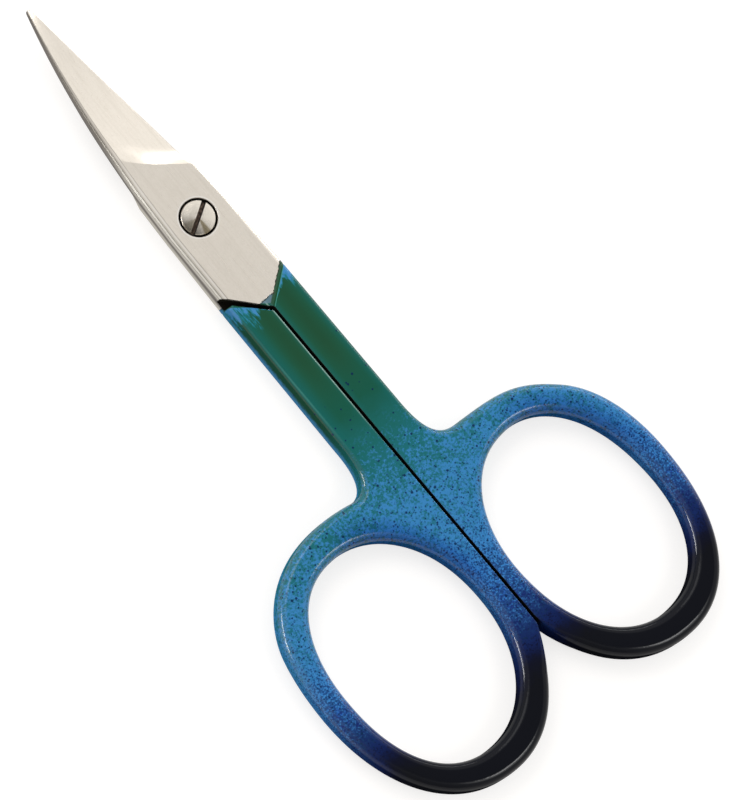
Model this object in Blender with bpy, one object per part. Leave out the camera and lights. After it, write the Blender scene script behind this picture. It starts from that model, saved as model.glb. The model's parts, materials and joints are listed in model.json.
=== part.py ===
"""Manicure scissors with curved blades: two forged halves that turn on a slotted screw.

Metres, +Z up. The closed scissors lie flat on their handles and point along +Y, with the
origin at the bottom centre of the box around them.

Each half is drawn in a frame of its own, centred on the pivot: u runs towards the side of
the half's finger ring, y towards the tips, and h from the middle plane of the scissors
towards the outer face of the half. The front half stands as drawn, with its outer face up
and its ring at +X. The rear half is turned half round about Y, so its outer face is down
and its ring is at -X. Both blades then curve upwards.
"""

import math
from collections import namedtuple

import bmesh
import bpy
from mathutils import Matrix, Vector
from mathutils.geometry import delaunay_2d_cdt

# Heights
SHANK_THICKNESS = 0.0036
FACE_RELIEF = 0.00025  # the ground joint face lies this far below the shank
MATING_GAP = 0.0002
BLADE_RISE = 0.0024  # how far the curve lifts the tips
CURVE_START_RADIUS = 0.0117

# Blade
TIP_Y = 0.02635  # centre of the tip's rounding
TIP_RADIUS = 0.00027
TIP_THICKNESS = 0.00048
TIP_BREAK_SHARE = 0.25
FULL_THICKNESS_Y = 0.009
HEEL_STEP = 0.0015  # from the plunge's low end up to the heel of the cutting edge
HEEL_SPINE_HALF = 0.0033
SPINE_BELLY = 0.00028  # the spine bows out this much over a straight line
SPINE_FACET_WIDTH = 0.00068
SPINE_WALL_HEIGHT = 0.0001
EDGE_SET_BACK = 0.0002  # the cutting edge lies this far inside the other blade's spine
EDGE_LAND = 0.00016  # thickness left along the cutting edge
CUTTING_EDGE_BREAK = 0.00005
HOLLOW_DEPTH = 0.0001
PLUNGE_EDGE_Y = 0.0045
PLUNGE_SLANT = 0.0047  # how much further up the plunge line ends at the spine
PLUNGE_RUN = 0.0022
PLUNGE_BEND_SHARES = (0.2, 0.66)

# Joint, outline at the middle plane
JOINT_EDGE_HALF = 0.00346
JOINT_EDGE_TOP_HALF = 0.00324
JOINT_SPINE_HALF = 0.00363
JOINT_BREAK = 0.0002
LAP_CORNER_HALF = 0.00374
LAP_CORNER_Y = -0.00755
LAP_END_DROP = 0.0041  # from the lap's corner down to where its end meets the shank
LAP_GAP_OUTER = 0.0012  # along Y, from the lap's end to the other half's shoulder
LAP_GAP_INNER = 0.0003
SHOULDER_DRAFT = 0.00014
SHOULDER_ROUNDING = 0.0002
FACE_RAMP_END = 0.00043  # width of the joint face's ramp at the lap's end
EDGE_BREAK = 0.0001

# Shanks
FRONT_SHANK_HALF = 0.00375
REAR_SHANK_HALF = 0.00396
SHANK_TOP_HALF = 0.00373
SPLIT_X = -0.00012  # middle of the gap between the shanks
SHANK_GAP = 0.0003
SHANK_INNER_BREAK = 0.00012
SHANK_OUTER_ROUNDING = 0.0005
SHANK_END_Y = -0.0265

# Finger rings: the hole, the walls round it, and the fillet up to the shank
RING_ROUNDING = 0.00098
RING_ROUNDING_HEIGHT = 0.0012
CROTCH_DROP = 0.00105  # the inner sides stay straight this much further than the ovals do
CROTCH_RUN = 0.009
OVAL_POWER = 2.15
FRONT_HOLE_HALF_WIDTH = 0.00865
FRONT_HOLE_HALF_LENGTH = 0.01208
FRONT_HOLE_TILT = math.radians(4.8)
FRONT_HOLE_BEND = 0.00025  # how far the ends of the oval lean away from the shank
FRONT_INNER_WALL = 0.00209
FRONT_SIDE_WALL = 0.0024
FRONT_END_WALL = 0.00277
FRONT_TOP_WALL = 0.00376
FRONT_RIM_SHIFT_X = 0.00025
FRONT_RIM_SHIFT_Y = -0.00044
FRONT_RIM_TILT = math.radians(-1.75)
FRONT_RIM_BEND = 0.00061
FRONT_FILLET_RISE = 0.00567
FRONT_FILLET_REACH = 0.00304
FRONT_CREST_LEAVE_ANGLE = math.radians(58.5)
FRONT_CREST_SHARES = (0.44, 0.48, -0.058)  # reach of both handles, and the slope at the fillet
REAR_HOLE_HALF_WIDTH = 0.00888
REAR_HOLE_HALF_LENGTH = 0.01213
REAR_HOLE_TILT = math.radians(-1.0)
REAR_HOLE_BEND = 0.00047
REAR_INNER_WALL = 0.00221
REAR_SIDE_WALL = 0.00287
REAR_END_WALL = 0.00497
REAR_TOP_WALL = 0.00313
REAR_RIM_SHIFT_X = -0.00018
REAR_RIM_SHIFT_Y = 0.00166
REAR_RIM_TILT = math.radians(3.3)
REAR_RIM_BEND = -0.00023
REAR_FILLET_RISE = 0.00501
REAR_FILLET_REACH = 0.00288
REAR_CREST_LEAVE_ANGLE = math.radians(16.5)
REAR_CREST_SHARES = (0.2, 0.7, 0.2)
FILLET_HANDLE_SHARE = 0.7
FILLET_LIMIT_SHARE = 0.95  # a rounding takes no more than this of the room it has

# Pivot screw
SCREW_SHAFT_RADIUS = 0.00105
SCREW_HEAD_RADIUS = 0.0018
SCREW_HEAD_WALL = 0.0005
SCREW_HEAD_DOME = 0.00014
SCREW_CONE_HEIGHT = 0.0006
SCREW_EDGE_BREAK = 0.00008
RECESS_DRAFT = 0.00001
SLOT_WIDTH = 0.00048
SLOT_DEPTH = 0.0005
SLOT_ANGLE = math.radians(30)
SCREW_CLEARANCE = 0.00016
CUT_OVERRUN = 0.001

# Mesh steps
EDGE_LEVELS = 4
RIM_STEPS = 48
RIM_BLEND_STEPS = 6
HOLE_STEPS = 52
OVAL_FINENESS = 8
CREST_STEPS = 8
FILLET_STEPS = 8
BLADE_STEPS = 14
PLUNGE_STEPS = 8
BORE_STEPS = 32
SCREW_STEPS = 48
FACE_SHARES = (0.2, 0.4, 0.6, 0.8)
PLUNGE_FACE_SHARES = (0.3, 0.6, 0.95)
SPINE_PROFILE_SHARES = ((0, 1), (0.12, 0.6), (0.22, 0.3), (0.62, 0.09), (1, 0))
DOME_SHARES = (0, 0.35, 0.65, 0.9)
SHARP_ANGLE = math.radians(24)
MITRE_ANGLE = math.radians(14.5)  # a corner flatter than this isn't mitred
ANGLE_HALVINGS = 40

HALF_THICKNESS = SHANK_THICKNESS / 2
JOINT_FACE = HALF_THICKNESS - FACE_RELIEF
MATING_FACE = MATING_GAP / 2
TIP_TOP_Y = TIP_Y + TIP_RADIUS
HEEL_Y = PLUNGE_EDGE_Y + HEEL_STEP
PLUNGE_SPINE_Y = PLUNGE_EDGE_Y + PLUNGE_SLANT
LAP_END_Y = LAP_CORNER_Y - LAP_END_DROP
SHOULDER_Y = LAP_CORNER_Y - LAP_GAP_OUTER
SHOULDER_INNER_Y = LAP_END_Y + SHANK_GAP * LAP_END_DROP / LAP_CORNER_HALF - LAP_GAP_INNER
SHOULDER_RUN = SHOULDER_DRAFT + SHOULDER_ROUNDING
BORE_RADIUS = SCREW_SHAFT_RADIUS + SCREW_CLEARANCE
RECESS_RADIUS = SCREW_HEAD_RADIUS + SCREW_CLEARANCE

# Height shares of the shoulder's edge, between its foot and the top of the shank
SHOULDER_WALL_SHARE = 1 - SHOULDER_ROUNDING / (MATING_FACE + HALF_THICKNESS)
SHOULDER_RAMP_SHARE = SHOULDER_DRAFT / SHOULDER_RUN

Edge = namedtuple("Edge", "outer inner")
Point = namedtuple("Point", "u y before after outer_share inner_share name")
Oval = namedtuple("Oval", "centre half tilt bend")
Ring = namedtuple("Ring", "hole rim crest_start crest_leave crest_shares inner_side shank_half")


def ring_shape(inner_side, shank_half, hole_half, hole_lean, walls, rim_shift, rim_lean, span, crest):
    """A finger ring, placed from the end of its shank down: fillet, top wall, hole, rim."""
    inner_wall, side_wall, end_wall, top_wall = walls
    reach, rise = span
    crest_start = (shank_half + reach, SHANK_END_Y - rise)
    hole_centre = (inner_side + inner_wall + hole_half[0], crest_start[1] - top_wall - hole_half[1])
    rim_centre = (hole_centre[0] + rim_shift[0], hole_centre[1] + rim_shift[1])
    rim_half = (hole_half[0] + side_wall, hole_half[1] + end_wall)
    hole = Oval(hole_centre, hole_half, *hole_lean)
    rim = Oval(rim_centre, rim_half, *rim_lean)
    return Ring(hole, rim, crest_start, *crest, inner_side, shank_half)


FRONT_RING = ring_shape(
    SPLIT_X + SHANK_GAP / 2,
    FRONT_SHANK_HALF,
    (FRONT_HOLE_HALF_WIDTH, FRONT_HOLE_HALF_LENGTH),
    (FRONT_HOLE_TILT, FRONT_HOLE_BEND),
    (FRONT_INNER_WALL, FRONT_SIDE_WALL, FRONT_END_WALL, FRONT_TOP_WALL),
    (FRONT_RIM_SHIFT_X, FRONT_RIM_SHIFT_Y),
    (FRONT_RIM_TILT, FRONT_RIM_BEND),
    (FRONT_FILLET_REACH, FRONT_FILLET_RISE),
    (FRONT_CREST_LEAVE_ANGLE, FRONT_CREST_SHARES),
)
REAR_RING = ring_shape(
    SHANK_GAP / 2 - SPLIT_X,
    REAR_SHANK_HALF,
    (REAR_HOLE_HALF_WIDTH, REAR_HOLE_HALF_LENGTH),
    (REAR_HOLE_TILT, REAR_HOLE_BEND),
    (REAR_INNER_WALL, REAR_SIDE_WALL, REAR_END_WALL, REAR_TOP_WALL),
    (REAR_RIM_SHIFT_X, REAR_RIM_SHIFT_Y),
    (REAR_RIM_TILT, REAR_RIM_BEND),
    (REAR_FILLET_REACH, REAR_FILLET_RISE),
    (REAR_CREST_LEAVE_ANGLE, REAR_CREST_SHARES),
)


def mix(a, b, share):
    return a + (b - a) * share


def bow(share):
    """A parabola that is zero at both ends and 1 half way."""
    return 4 * share * (1 - share)


def bezier(points, steps):
    """Points along a quadratic or cubic Bezier curve, both ends among them."""
    found = []
    for step in range(steps + 1):
        level = [Vector(p) for p in points]
        for _ in points[1:]:
            level = [a.lerp(b, step / steps) for a, b in zip(level, level[1:])]
        found.append(level[0])
    return found


def oval_point(oval, angle):
    """A point on a superellipse, a little squarer than an ellipse, whose ends lean sideways."""
    cosine, sine = math.cos(angle), math.sin(angle)
    along_share = math.copysign(abs(sine) ** (2 / OVAL_POWER), sine)
    across = oval.half[0] * math.copysign(abs(cosine) ** (2 / OVAL_POWER), cosine)
    across += oval.bend * along_share**2
    along = oval.half[1] * along_share
    turned = Vector((across, along))
    turned.rotate(Matrix.Rotation(oval.tilt, 2))
    return Vector(oval.centre) + turned


def even_oval(oval, start, stop, steps):
    """Points along part of an oval, evenly spaced by length."""
    fine = OVAL_FINENESS * steps
    return evenly([oval_point(oval, mix(start, stop, i / fine)) for i in range(fine + 1)], steps)


def evenly(fine, steps):
    """Reads a fine line of points again at even distances along it."""
    reach = [0.0]
    for a, b in zip(fine, fine[1:]):
        reach.append(reach[-1] + (b - a).length)
    found = [fine[0]]
    at = 0
    for step in range(1, steps):
        wanted = reach[-1] * step / steps
        while reach[at + 1] < wanted:
            at += 1
        share = (wanted - reach[at]) / (reach[at + 1] - reach[at])
        found.append(fine[at].lerp(fine[at + 1], share))
    found.append(fine[-1])
    return found


# Edge profiles: pairs of inset from the outline and drop below the face, wall first


def rounded(inset, drop):
    found = []
    for level in range(EDGE_LEVELS + 1):
        angle = math.pi / 2 * level / EDGE_LEVELS
        found.append((inset * (1 - math.cos(angle)), drop * (1 - math.sin(angle))))
    return found


def from_shares(shares, inset, drop):
    return [(inset * a, drop * b) for a, b in shares]


def mix_profiles(a, b, share):
    return [(mix(p[0], q[0], share), mix(p[1], q[1], share)) for p, q in zip(a, b)]


def mix_edges(a, b, share):
    return Edge(mix_profiles(a.outer, b.outer, share), mix_profiles(a.inner, b.inner, share))


def same_both_sides(profile):
    return Edge(profile, profile)


def blade_share(y):
    """How much of the heel's width the blade still has."""
    return min(1.0, spine_half(y) / HEEL_SPINE_HALF)


def spine_edge(y):
    """The stepped bevel along the spine. It gets smaller with the blade."""
    share = blade_share(y)
    drop = spine_face(y) - MATING_FACE - SPINE_WALL_HEIGHT
    outer = from_shares(SPINE_PROFILE_SHARES, SPINE_FACET_WIDTH * share, drop)
    return Edge(outer, rounded(EDGE_BREAK * share, 0))


def fillet(size, room):
    """A rounding, limited by the room that the metal leaves it."""
    return min(size, FILLET_LIMIT_SHARE * room)


SMALLEST_WALL = min(FRONT_INNER_WALL, FRONT_SIDE_WALL, REAR_INNER_WALL, REAR_SIDE_WALL)
RING_EDGE = same_both_sides(
    rounded(fillet(RING_ROUNDING, SMALLEST_WALL / 2), fillet(RING_ROUNDING_HEIGHT, HALF_THICKNESS))
)
SHANK_INNER_EDGE = same_both_sides(rounded(SHANK_INNER_BREAK, SHANK_INNER_BREAK))
SHANK_OUTER_EDGE = same_both_sides(rounded(SHANK_OUTER_ROUNDING, SHANK_OUTER_ROUNDING))
JOINT_EDGE = Edge(rounded(JOINT_BREAK, JOINT_BREAK), rounded(EDGE_BREAK, 0))
SHOULDER_EDGE = Edge(rounded(SHANK_OUTER_ROUNDING, JOINT_BREAK), rounded(SHANK_OUTER_ROUNDING, 0))
LAP_EDGE = Edge(rounded(EDGE_BREAK, EDGE_BREAK), rounded(EDGE_BREAK, 0))
CUTTING_EDGE = Edge(
    rounded(CUTTING_EDGE_BREAK, fillet(CUTTING_EDGE_BREAK, EDGE_LAND)),
    rounded(CUTTING_EDGE_BREAK, 0),
)
TIP_BREAK = TIP_RADIUS * TIP_BREAK_SHARE
TIP_EDGE = Edge(rounded(TIP_BREAK, TIP_BREAK), rounded(TIP_BREAK, 0))


# Blade shape


def spine_half(y):
    """Distance from the centre line to the spine: a straight taper with a belly."""
    share = (y - HEEL_Y) / (TIP_Y - HEEL_Y)
    return mix(HEEL_SPINE_HALF, TIP_RADIUS, share) + SPINE_BELLY * bow(share)


def edge_half(y):
    share = (y - HEEL_Y) / (TIP_Y - HEEL_Y)
    return spine_half(y) - EDGE_SET_BACK * (1 - share)


def spine_face(y):
    """Height of the blade's outer face beside the spine."""
    share = max(0.0, (y - FULL_THICKNESS_Y) / (TIP_Y - FULL_THICKNESS_Y))
    return mix(JOINT_FACE, MATING_FACE + TIP_THICKNESS, min(1.0, share))


def plunge_line():
    """Where the flat joint face ends and the hollow-ground blade face begins."""
    start = Vector((edge_half(PLUNGE_EDGE_Y), PLUNGE_EDGE_Y))
    end = Vector((SPINE_FACET_WIDTH - spine_half(PLUNGE_SPINE_Y), PLUNGE_SPINE_Y))
    across_share, along_share = PLUNGE_BEND_SHARES
    bend = Vector((mix(end.x, start.x, across_share), mix(start.y, end.y, along_share)))
    return bezier([start, bend, end], PLUNGE_STEPS)


def beyond_plunge(u, y, line):
    """Distance from the plunge line, positive towards the tip."""
    here = Vector((u, y))
    best = None
    for a, b in zip(line, line[1:]):
        along = b - a
        share = max(0.0, min(1.0, (here - a).dot(along) / along.length_squared))
        away = here - (a + along * share)
        side = 1 if along.x * away.y - along.y * away.x < 0 else -1
        if best is None or away.length < abs(best):
            best = side * away.length
    return best


def outer_face(u, y, line):
    """Height of the joint and blade face over the middle plane, before the blade's lift."""
    beyond = beyond_plunge(u, y, line)
    if beyond <= 0:
        return JOINT_FACE
    face_start = SPINE_FACET_WIDTH * blade_share(y) - spine_half(y)
    face_end = edge_half(y)
    across = min(1.0, max(0.0, (u - face_start) / (face_end - face_start)))
    ground = mix(spine_face(y), MATING_FACE + EDGE_LAND, across)
    ground -= HOLLOW_DEPTH * blade_share(y) * bow(across)
    left = max(0.0, 1 - beyond / PLUNGE_RUN) ** 2
    return mix(ground, JOINT_FACE, left)


def lift(u, y):
    """The blades' upward curve. It depends on the distance from the pivot alone, so the
    mating faces still clear each other when one half turns."""
    if y < 0:
        return 0.0
    share = (math.hypot(u, y) - CURVE_START_RADIUS) / (TIP_TOP_Y - CURVE_START_RADIUS)
    return BLADE_RISE * max(0.0, share) ** 2


# Outline of a half, anticlockwise as seen from its outer side


def run(places, edge_start, edge_end, outer_share, inner_share):
    """Outline points along a line of places, with the edge changing evenly along it."""
    found = []
    last = len(places) - 1
    for i, place in enumerate(places):
        edge = mix_edges(edge_start, edge_end, i / last)
        found.append(Point(place.x, place.y, edge, edge, outer_share, inner_share, ""))
    return found


def named(u, y, edge, outer_share, inner_share, name=""):
    return Point(u, y, edge, edge, outer_share, inner_share, name)


def angle_at_inner_side(ring):
    """The angle at which the rim's oval leaves the shank's straight inner side."""
    low, high = math.pi, 1.5 * math.pi
    for _ in range(ANGLE_HALVINGS):
        middle = (low + high) / 2
        if oval_point(ring.rim, middle).x < ring.inner_side:
            low = middle
        else:
            high = middle
    return high


def inner_side_points(ring):
    """Down the shank's straight inner side, which stops the other half when closed."""
    u = ring.inner_side
    foot = SHOULDER_INNER_Y
    ring_top = ring.crest_start[1]
    rim_start = oval_point(ring.rim, angle_at_inner_side(ring)).y
    found = [
        named(u, LAP_END_Y, SHANK_INNER_EDGE, 1, 0, "step shank"),
        named(u, foot, SHANK_INNER_EDGE, 1, 0, "shoulder foot"),
        named(u, foot - SHOULDER_DRAFT, SHANK_INNER_EDGE, 1, SHOULDER_WALL_SHARE, "shoulder edge"),
        named(u, foot - SHOULDER_RUN, SHANK_INNER_EDGE, 1, 1, "shoulder top"),
    ]
    for y in (SHANK_END_Y, ring_top, mix(ring_top, rim_start, 1 / 2)):
        found.append(named(u, y, SHANK_INNER_EDGE, 1, 1))
    return found


def rim_points(ring):
    """Round the outside of the finger ring, from the inner side to the crest."""
    start = angle_at_inner_side(ring)
    places = even_oval(ring.rim, start, 2 * math.pi + ring.crest_leave, RIM_STEPS)
    spacing = (places[1] - places[0]).length
    for i, place in enumerate(places):
        place.y -= CROTCH_DROP * max(0.0, 1 - i * spacing / CROTCH_RUN) ** 2
    growing = run(places[: RIM_BLEND_STEPS + 1], SHANK_INNER_EDGE, RING_EDGE, 1, 1)
    return growing + run(places[RIM_BLEND_STEPS + 1 :], RING_EDGE, RING_EDGE, 1, 1)


def crest_points(ring):
    """Back over the top of the ring to the shank, then up the fillet between them."""
    leave_share, arrive_share, slope_share = ring.crest_shares
    leave = oval_point(ring.rim, ring.crest_leave)
    just_before = oval_point(ring.rim, ring.crest_leave - math.radians(1))
    start = Vector(ring.crest_start)
    slope = Vector((1, slope_share))
    reach = leave.x - start.x
    leave_handle = leave + (leave - just_before).normalized() * reach * leave_share
    arrive_handle = start + slope * reach * arrive_share
    fine = bezier([leave, leave_handle, arrive_handle, start], OVAL_FINENESS * CREST_STEPS)
    crest = evenly(fine, CREST_STEPS)
    foot = Vector((ring.shank_half, SHANK_END_Y))
    handle = (start - foot) * FILLET_HANDLE_SHARE
    side = bezier(
        [start, start - slope * handle.x, foot + Vector((0, handle.y)), foot],
        FILLET_STEPS,
    )
    found = run(crest[1:], RING_EDGE, RING_EDGE, 1, 1)
    return found + run(side[1:], RING_EDGE, SHANK_OUTER_EDGE, 1, 1)


def shank_side_points():
    """Up the shank's outer side, over the shoulder and along the joint."""
    foot = SHOULDER_Y
    u = SHANK_TOP_HALF
    edge_y = foot - SHOULDER_DRAFT
    shares = (SHOULDER_RAMP_SHARE, SHOULDER_WALL_SHARE)
    return [
        named(u, foot - SHOULDER_RUN, SHANK_OUTER_EDGE, 1, 1, "shoulder top"),
        named(u, edge_y, SHANK_OUTER_EDGE, *shares, "shoulder edge"),
        named(u, foot, SHOULDER_EDGE, 0, 0, "shoulder foot"),
        named(JOINT_EDGE_HALF, 0, JOINT_EDGE, 0, 0),
        named(JOINT_EDGE_TOP_HALF, PLUNGE_EDGE_Y, JOINT_EDGE, 0, 0, "plunge"),
    ]


def blade_points():
    """Up the cutting edge, round the tip and down the spine."""
    found = []
    for step in range(BLADE_STEPS):
        y = mix(HEEL_Y, TIP_Y, step / BLADE_STEPS)
        found.append(named(edge_half(y), y, CUTTING_EDGE, 0, 0))
    for step in range(EDGE_LEVELS + 1):
        angle = math.pi * step / EDGE_LEVELS
        place = Vector((math.cos(angle), math.sin(angle))) * TIP_RADIUS
        found.append(named(place.x, TIP_Y + place.y, TIP_EDGE, 0, 0))
    for step in range(1, BLADE_STEPS):
        y = mix(TIP_Y, PLUNGE_SPINE_Y, step / BLADE_STEPS)
        found.append(named(-spine_half(y), y, spine_edge(y), 0, 0))
    y = PLUNGE_SPINE_Y
    found.append(named(-spine_half(y), y, spine_edge(y), 0, 0, "plunge"))
    found.append(named(-spine_half(HEEL_Y), HEEL_Y, spine_edge(HEEL_Y), 0, 0))
    return found


def lap_points():
    """Down the joint's spine side and along the slanted end of the lap."""
    spine = spine_edge(0)
    corner = Point(-LAP_CORNER_HALF, LAP_CORNER_Y, spine, LAP_EDGE, 0, 0, "")
    return [named(-JOINT_SPINE_HALF, 0, spine, 0, 0), corner]


def outline(ring):
    lap_end = Vector((ring.inner_side, LAP_END_Y))
    corner = Vector((-LAP_CORNER_HALF, LAP_CORNER_Y))
    ramp_top = lap_end + (corner - lap_end).normalized() * FACE_RAMP_END
    return (
        inner_side_points(ring)
        + rim_points(ring)
        + crest_points(ring)
        + shank_side_points()
        + blade_points()
        + lap_points()
        + [named(ramp_top.x, ramp_top.y, LAP_EDGE, 0, 0, "step joint")]
    )


def finger_hole(ring):
    """The finger hole, clockwise, so that the metal lies on its left."""
    places = even_oval(ring.hole, 2 * math.pi, 0, HOLE_STEPS)
    return run(places[:-1], RING_EDGE, RING_EDGE, 1, 1)


def pivot_bore(edge):
    """The bore for the screw, clockwise."""
    found = []
    for step in range(BORE_STEPS):
        angle = -2 * math.pi * step / BORE_STEPS
        u, y = BORE_RADIUS * math.cos(angle), BORE_RADIUS * math.sin(angle)
        found.append(named(u, y, edge, 0, 0))
    return found


def inset_place(before, here, after, width_before, width_after):
    """The corner of a line that runs inside the outline, at its own distance from each side."""
    side_before = (here - before).normalized()
    side_after = (after - here).normalized()
    normal_before = Vector((-side_before.y, side_before.x))
    normal_after = Vector((-side_after.y, side_after.x))
    turn = normal_before.x * normal_after.y - normal_before.y * normal_after.x
    if abs(turn) < math.sin(MITRE_ANGLE) or normal_before.dot(normal_after) < 0:
        both = normal_before + normal_after
        width = (width_before + width_after) / 2
        return here + both * width * 2 / max(1.0, both.length_squared)
    across = width_before * normal_after.y - width_after * normal_before.y
    along = width_after * normal_before.x - width_before * normal_after.x
    return here + Vector((across, along)) / turn


class Surface:
    """One side of a half: strips along each outline, then a fill between the last ones."""

    def __init__(self, mesh, outer):
        self.mesh = mesh
        self.outer = outer
        self.line = plunge_line()
        self.places = {}
        self.loops = []
        self.named = {}

    def height(self, u, y, share):
        if self.outer:
            return mix(outer_face(u, y, self.line), HALF_THICKNESS, share)
        return mix(MATING_FACE, -HALF_THICKNESS, share)

    def vertex(self, place, share, drop):
        height = self.height(place.x, place.y, share)
        height += -drop if self.outer else drop * share
        vert = self.mesh.verts.new((place.x, place.y, height))
        self.places[vert] = place
        return vert

    def face(self, corners):
        self.mesh.faces.new(corners if self.outer else corners[::-1])

    def strip(self, points):
        """Adds the edge's strips along one outline and returns its outermost vertices."""
        rows = []
        count = len(points)
        for level in range(EDGE_LEVELS + 1):
            row = []
            for i, point in enumerate(points):
                here = Vector((point.u, point.y))
                before = Vector((points[i - 1].u, points[i - 1].y))
                after = Vector((points[(i + 1) % count].u, points[(i + 1) % count].y))
                profiles = [
                    edge.outer if self.outer else edge.inner
                    for edge in (point.before, point.after)
                ]
                place = inset_place(
                    before, here, after, profiles[0][level][0], profiles[1][level][0]
                )
                share = point.outer_share if self.outer else point.inner_share
                row.append(self.vertex(place, share, profiles[0][level][1]))
            rows.append(row)
        for low, high in zip(rows, rows[1:]):
            for i in range(count):
                j = (i + 1) % count
                self.face([low[i], low[j], high[j], high[i]])
        for point, vert in zip(points, rows[-1]):
            if point.name:
                self.named.setdefault(point.name, []).append(vert)
        self.loops.append(rows[-1])
        return rows[0]

    def inside(self, place):
        """Whether a place lies within the outline and outside its holes."""
        crossings = 0
        for loop in self.loops:
            for a, b in zip(loop, loop[1:] + loop[:1]):
                if (a.co.y > place.y) == (b.co.y > place.y):
                    continue
                share = (place.y - a.co.y) / (b.co.y - a.co.y)
                if mix(a.co.x, b.co.x, share) > place.x:
                    crossings += 1
        return crossings % 2 == 1

    def fill(self, lines, spots):
        """Fills between the loops, with the lines kept as edges and the spots as vertices."""
        verts = [vert for loop in self.loops for vert in loop]
        edges = []
        start = 0
        for loop in self.loops:
            count = len(loop)
            edges += [(start + i, start + (i + 1) % count) for i in range(count)]
            start += count
        index = {vert: i for i, vert in enumerate(verts)}
        for line in lines:
            ends = []
            for end in line:
                vert = end if isinstance(end, bmesh.types.BMVert) else self.vertex(end, 0, 0)
                if vert not in index:
                    index[vert] = len(verts)
                    verts.append(vert)
                ends.append(index[vert])
            edges += list(zip(ends, ends[1:]))
        verts += [self.vertex(spot, 0, 0) for spot in spots if self.inside(spot)]
        places = [self.places[vert] for vert in verts]
        found, _, faces, origins, _, _ = delaunay_2d_cdt(places, edges, [], 0, 0.0)
        made = []
        for place, origin in zip(found, origins):
            made.append(verts[origin[0]] if origin else self.vertex(place, 0, 0))
        for corners in faces:
            middle = sum((found[i] for i in corners), Vector((0, 0))) / len(corners)
            if self.inside(middle):
                self.face([made[i] for i in corners])


def blade_spots(line):
    """Vertices for the curved faces of the blade, in rows across it."""
    found = []
    for step in range(1, BLADE_STEPS):
        y = mix(HEEL_Y, TIP_Y, step / BLADE_STEPS)
        face_start = SPINE_FACET_WIDTH * blade_share(y) - spine_half(y)
        for share in FACE_SHARES:
            place = Vector((mix(face_start, edge_half(y), share), y))
            if beyond_plunge(place.x, place.y, line) > PLUNGE_RUN:
                found.append(place)
    for a, b in zip(line, line[1:]):
        along = (b - a).normalized()
        tipward = Vector((along.y, -along.x))
        for share in PLUNGE_FACE_SHARES:
            found.append((a + b) / 2 + tipward * PLUNGE_RUN * share)
    return found


def half_mesh(ring, bore_edge):
    """The closed mesh of a half in its own frame, and the lift of each vertex."""
    mesh = bmesh.new()
    sides = [Surface(mesh, True), Surface(mesh, False)]
    for points in (outline(ring), finger_hole(ring), pivot_bore(bore_edge)):
        upper, lower = [side.strip(points) for side in sides]
        count = len(points)
        for i in range(count):
            j = (i + 1) % count
            mesh.faces.new((lower[i], lower[j], upper[j], upper[i]))
    outer, inner = sides
    start, end = outer.named["plunge"]
    plunge = [start] + outer.line[1:-1] + [end]
    step_joint = [outer.named["shoulder foot"][1], outer.named["step joint"][0]]
    step_shank = [outer.named["shoulder edge"][1], outer.named["step shank"][0]]
    spots = blade_spots(outer.line)
    outer.fill([plunge, step_joint, step_shank], spots)
    shoulder = [inner.named[name] for name in ("shoulder foot", "shoulder edge", "shoulder top")]
    inner.fill(shoulder, spots)
    return mesh


def add_half(name, ring, bore_edge, rear, materials):
    mesh = half_mesh(ring, bore_edge)
    turn = Matrix.Rotation(math.pi, 4, "Y") if rear else Matrix.Identity(4)
    for vert in mesh.verts:
        raised = lift(vert.co.x, vert.co.y)
        vert.co = turn @ vert.co
        vert.co.z += HALF_THICKNESS + raised
    bmesh.ops.recalc_face_normals(mesh, faces=mesh.faces)
    data = bpy.data.meshes.new(name)
    for material in materials:
        data.materials.append(material)
    for face in mesh.faces:
        face.material_index = 1 if painted(face) else 0
    mesh.to_mesh(data)
    mesh.free()
    data.shade_smooth()
    data.set_sharp_from_angle(angle=SHARP_ANGLE)
    part = bpy.data.objects.new(name, data)
    bpy.context.scene.collection.objects.link(part)
    return part


def painted(face):
    """Whether a face lies on the handle's side of the slanted end of the joint."""
    middle = face.calc_center_median()
    share = abs(middle.x) / SHANK_TOP_HALF
    return middle.y < mix(LAP_END_Y, SHOULDER_Y, min(1.0, share)) - SHOULDER_DRAFT


def screw_profile():
    """Half of the screw's section, from the top of the head down, as (radius, z)."""
    face = HALF_THICKNESS + JOINT_FACE
    neck = face - SCREW_EDGE_BREAK - SCREW_HEAD_WALL
    shaft_top = neck - SCREW_CONE_HEIGHT
    tail = HALF_THICKNESS - JOINT_FACE
    dome = [
        (SCREW_HEAD_RADIUS * share, face + SCREW_HEAD_DOME * (1 - share * share))
        for share in DOME_SHARES
    ]
    return dome + [
        (SCREW_HEAD_RADIUS, face - SCREW_EDGE_BREAK),
        (SCREW_HEAD_RADIUS, neck),
        (SCREW_SHAFT_RADIUS, shaft_top),
        (SCREW_SHAFT_RADIUS, tail + SCREW_EDGE_BREAK),
        (SCREW_SHAFT_RADIUS - SCREW_EDGE_BREAK, tail),
        (0, tail),
    ]


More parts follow.
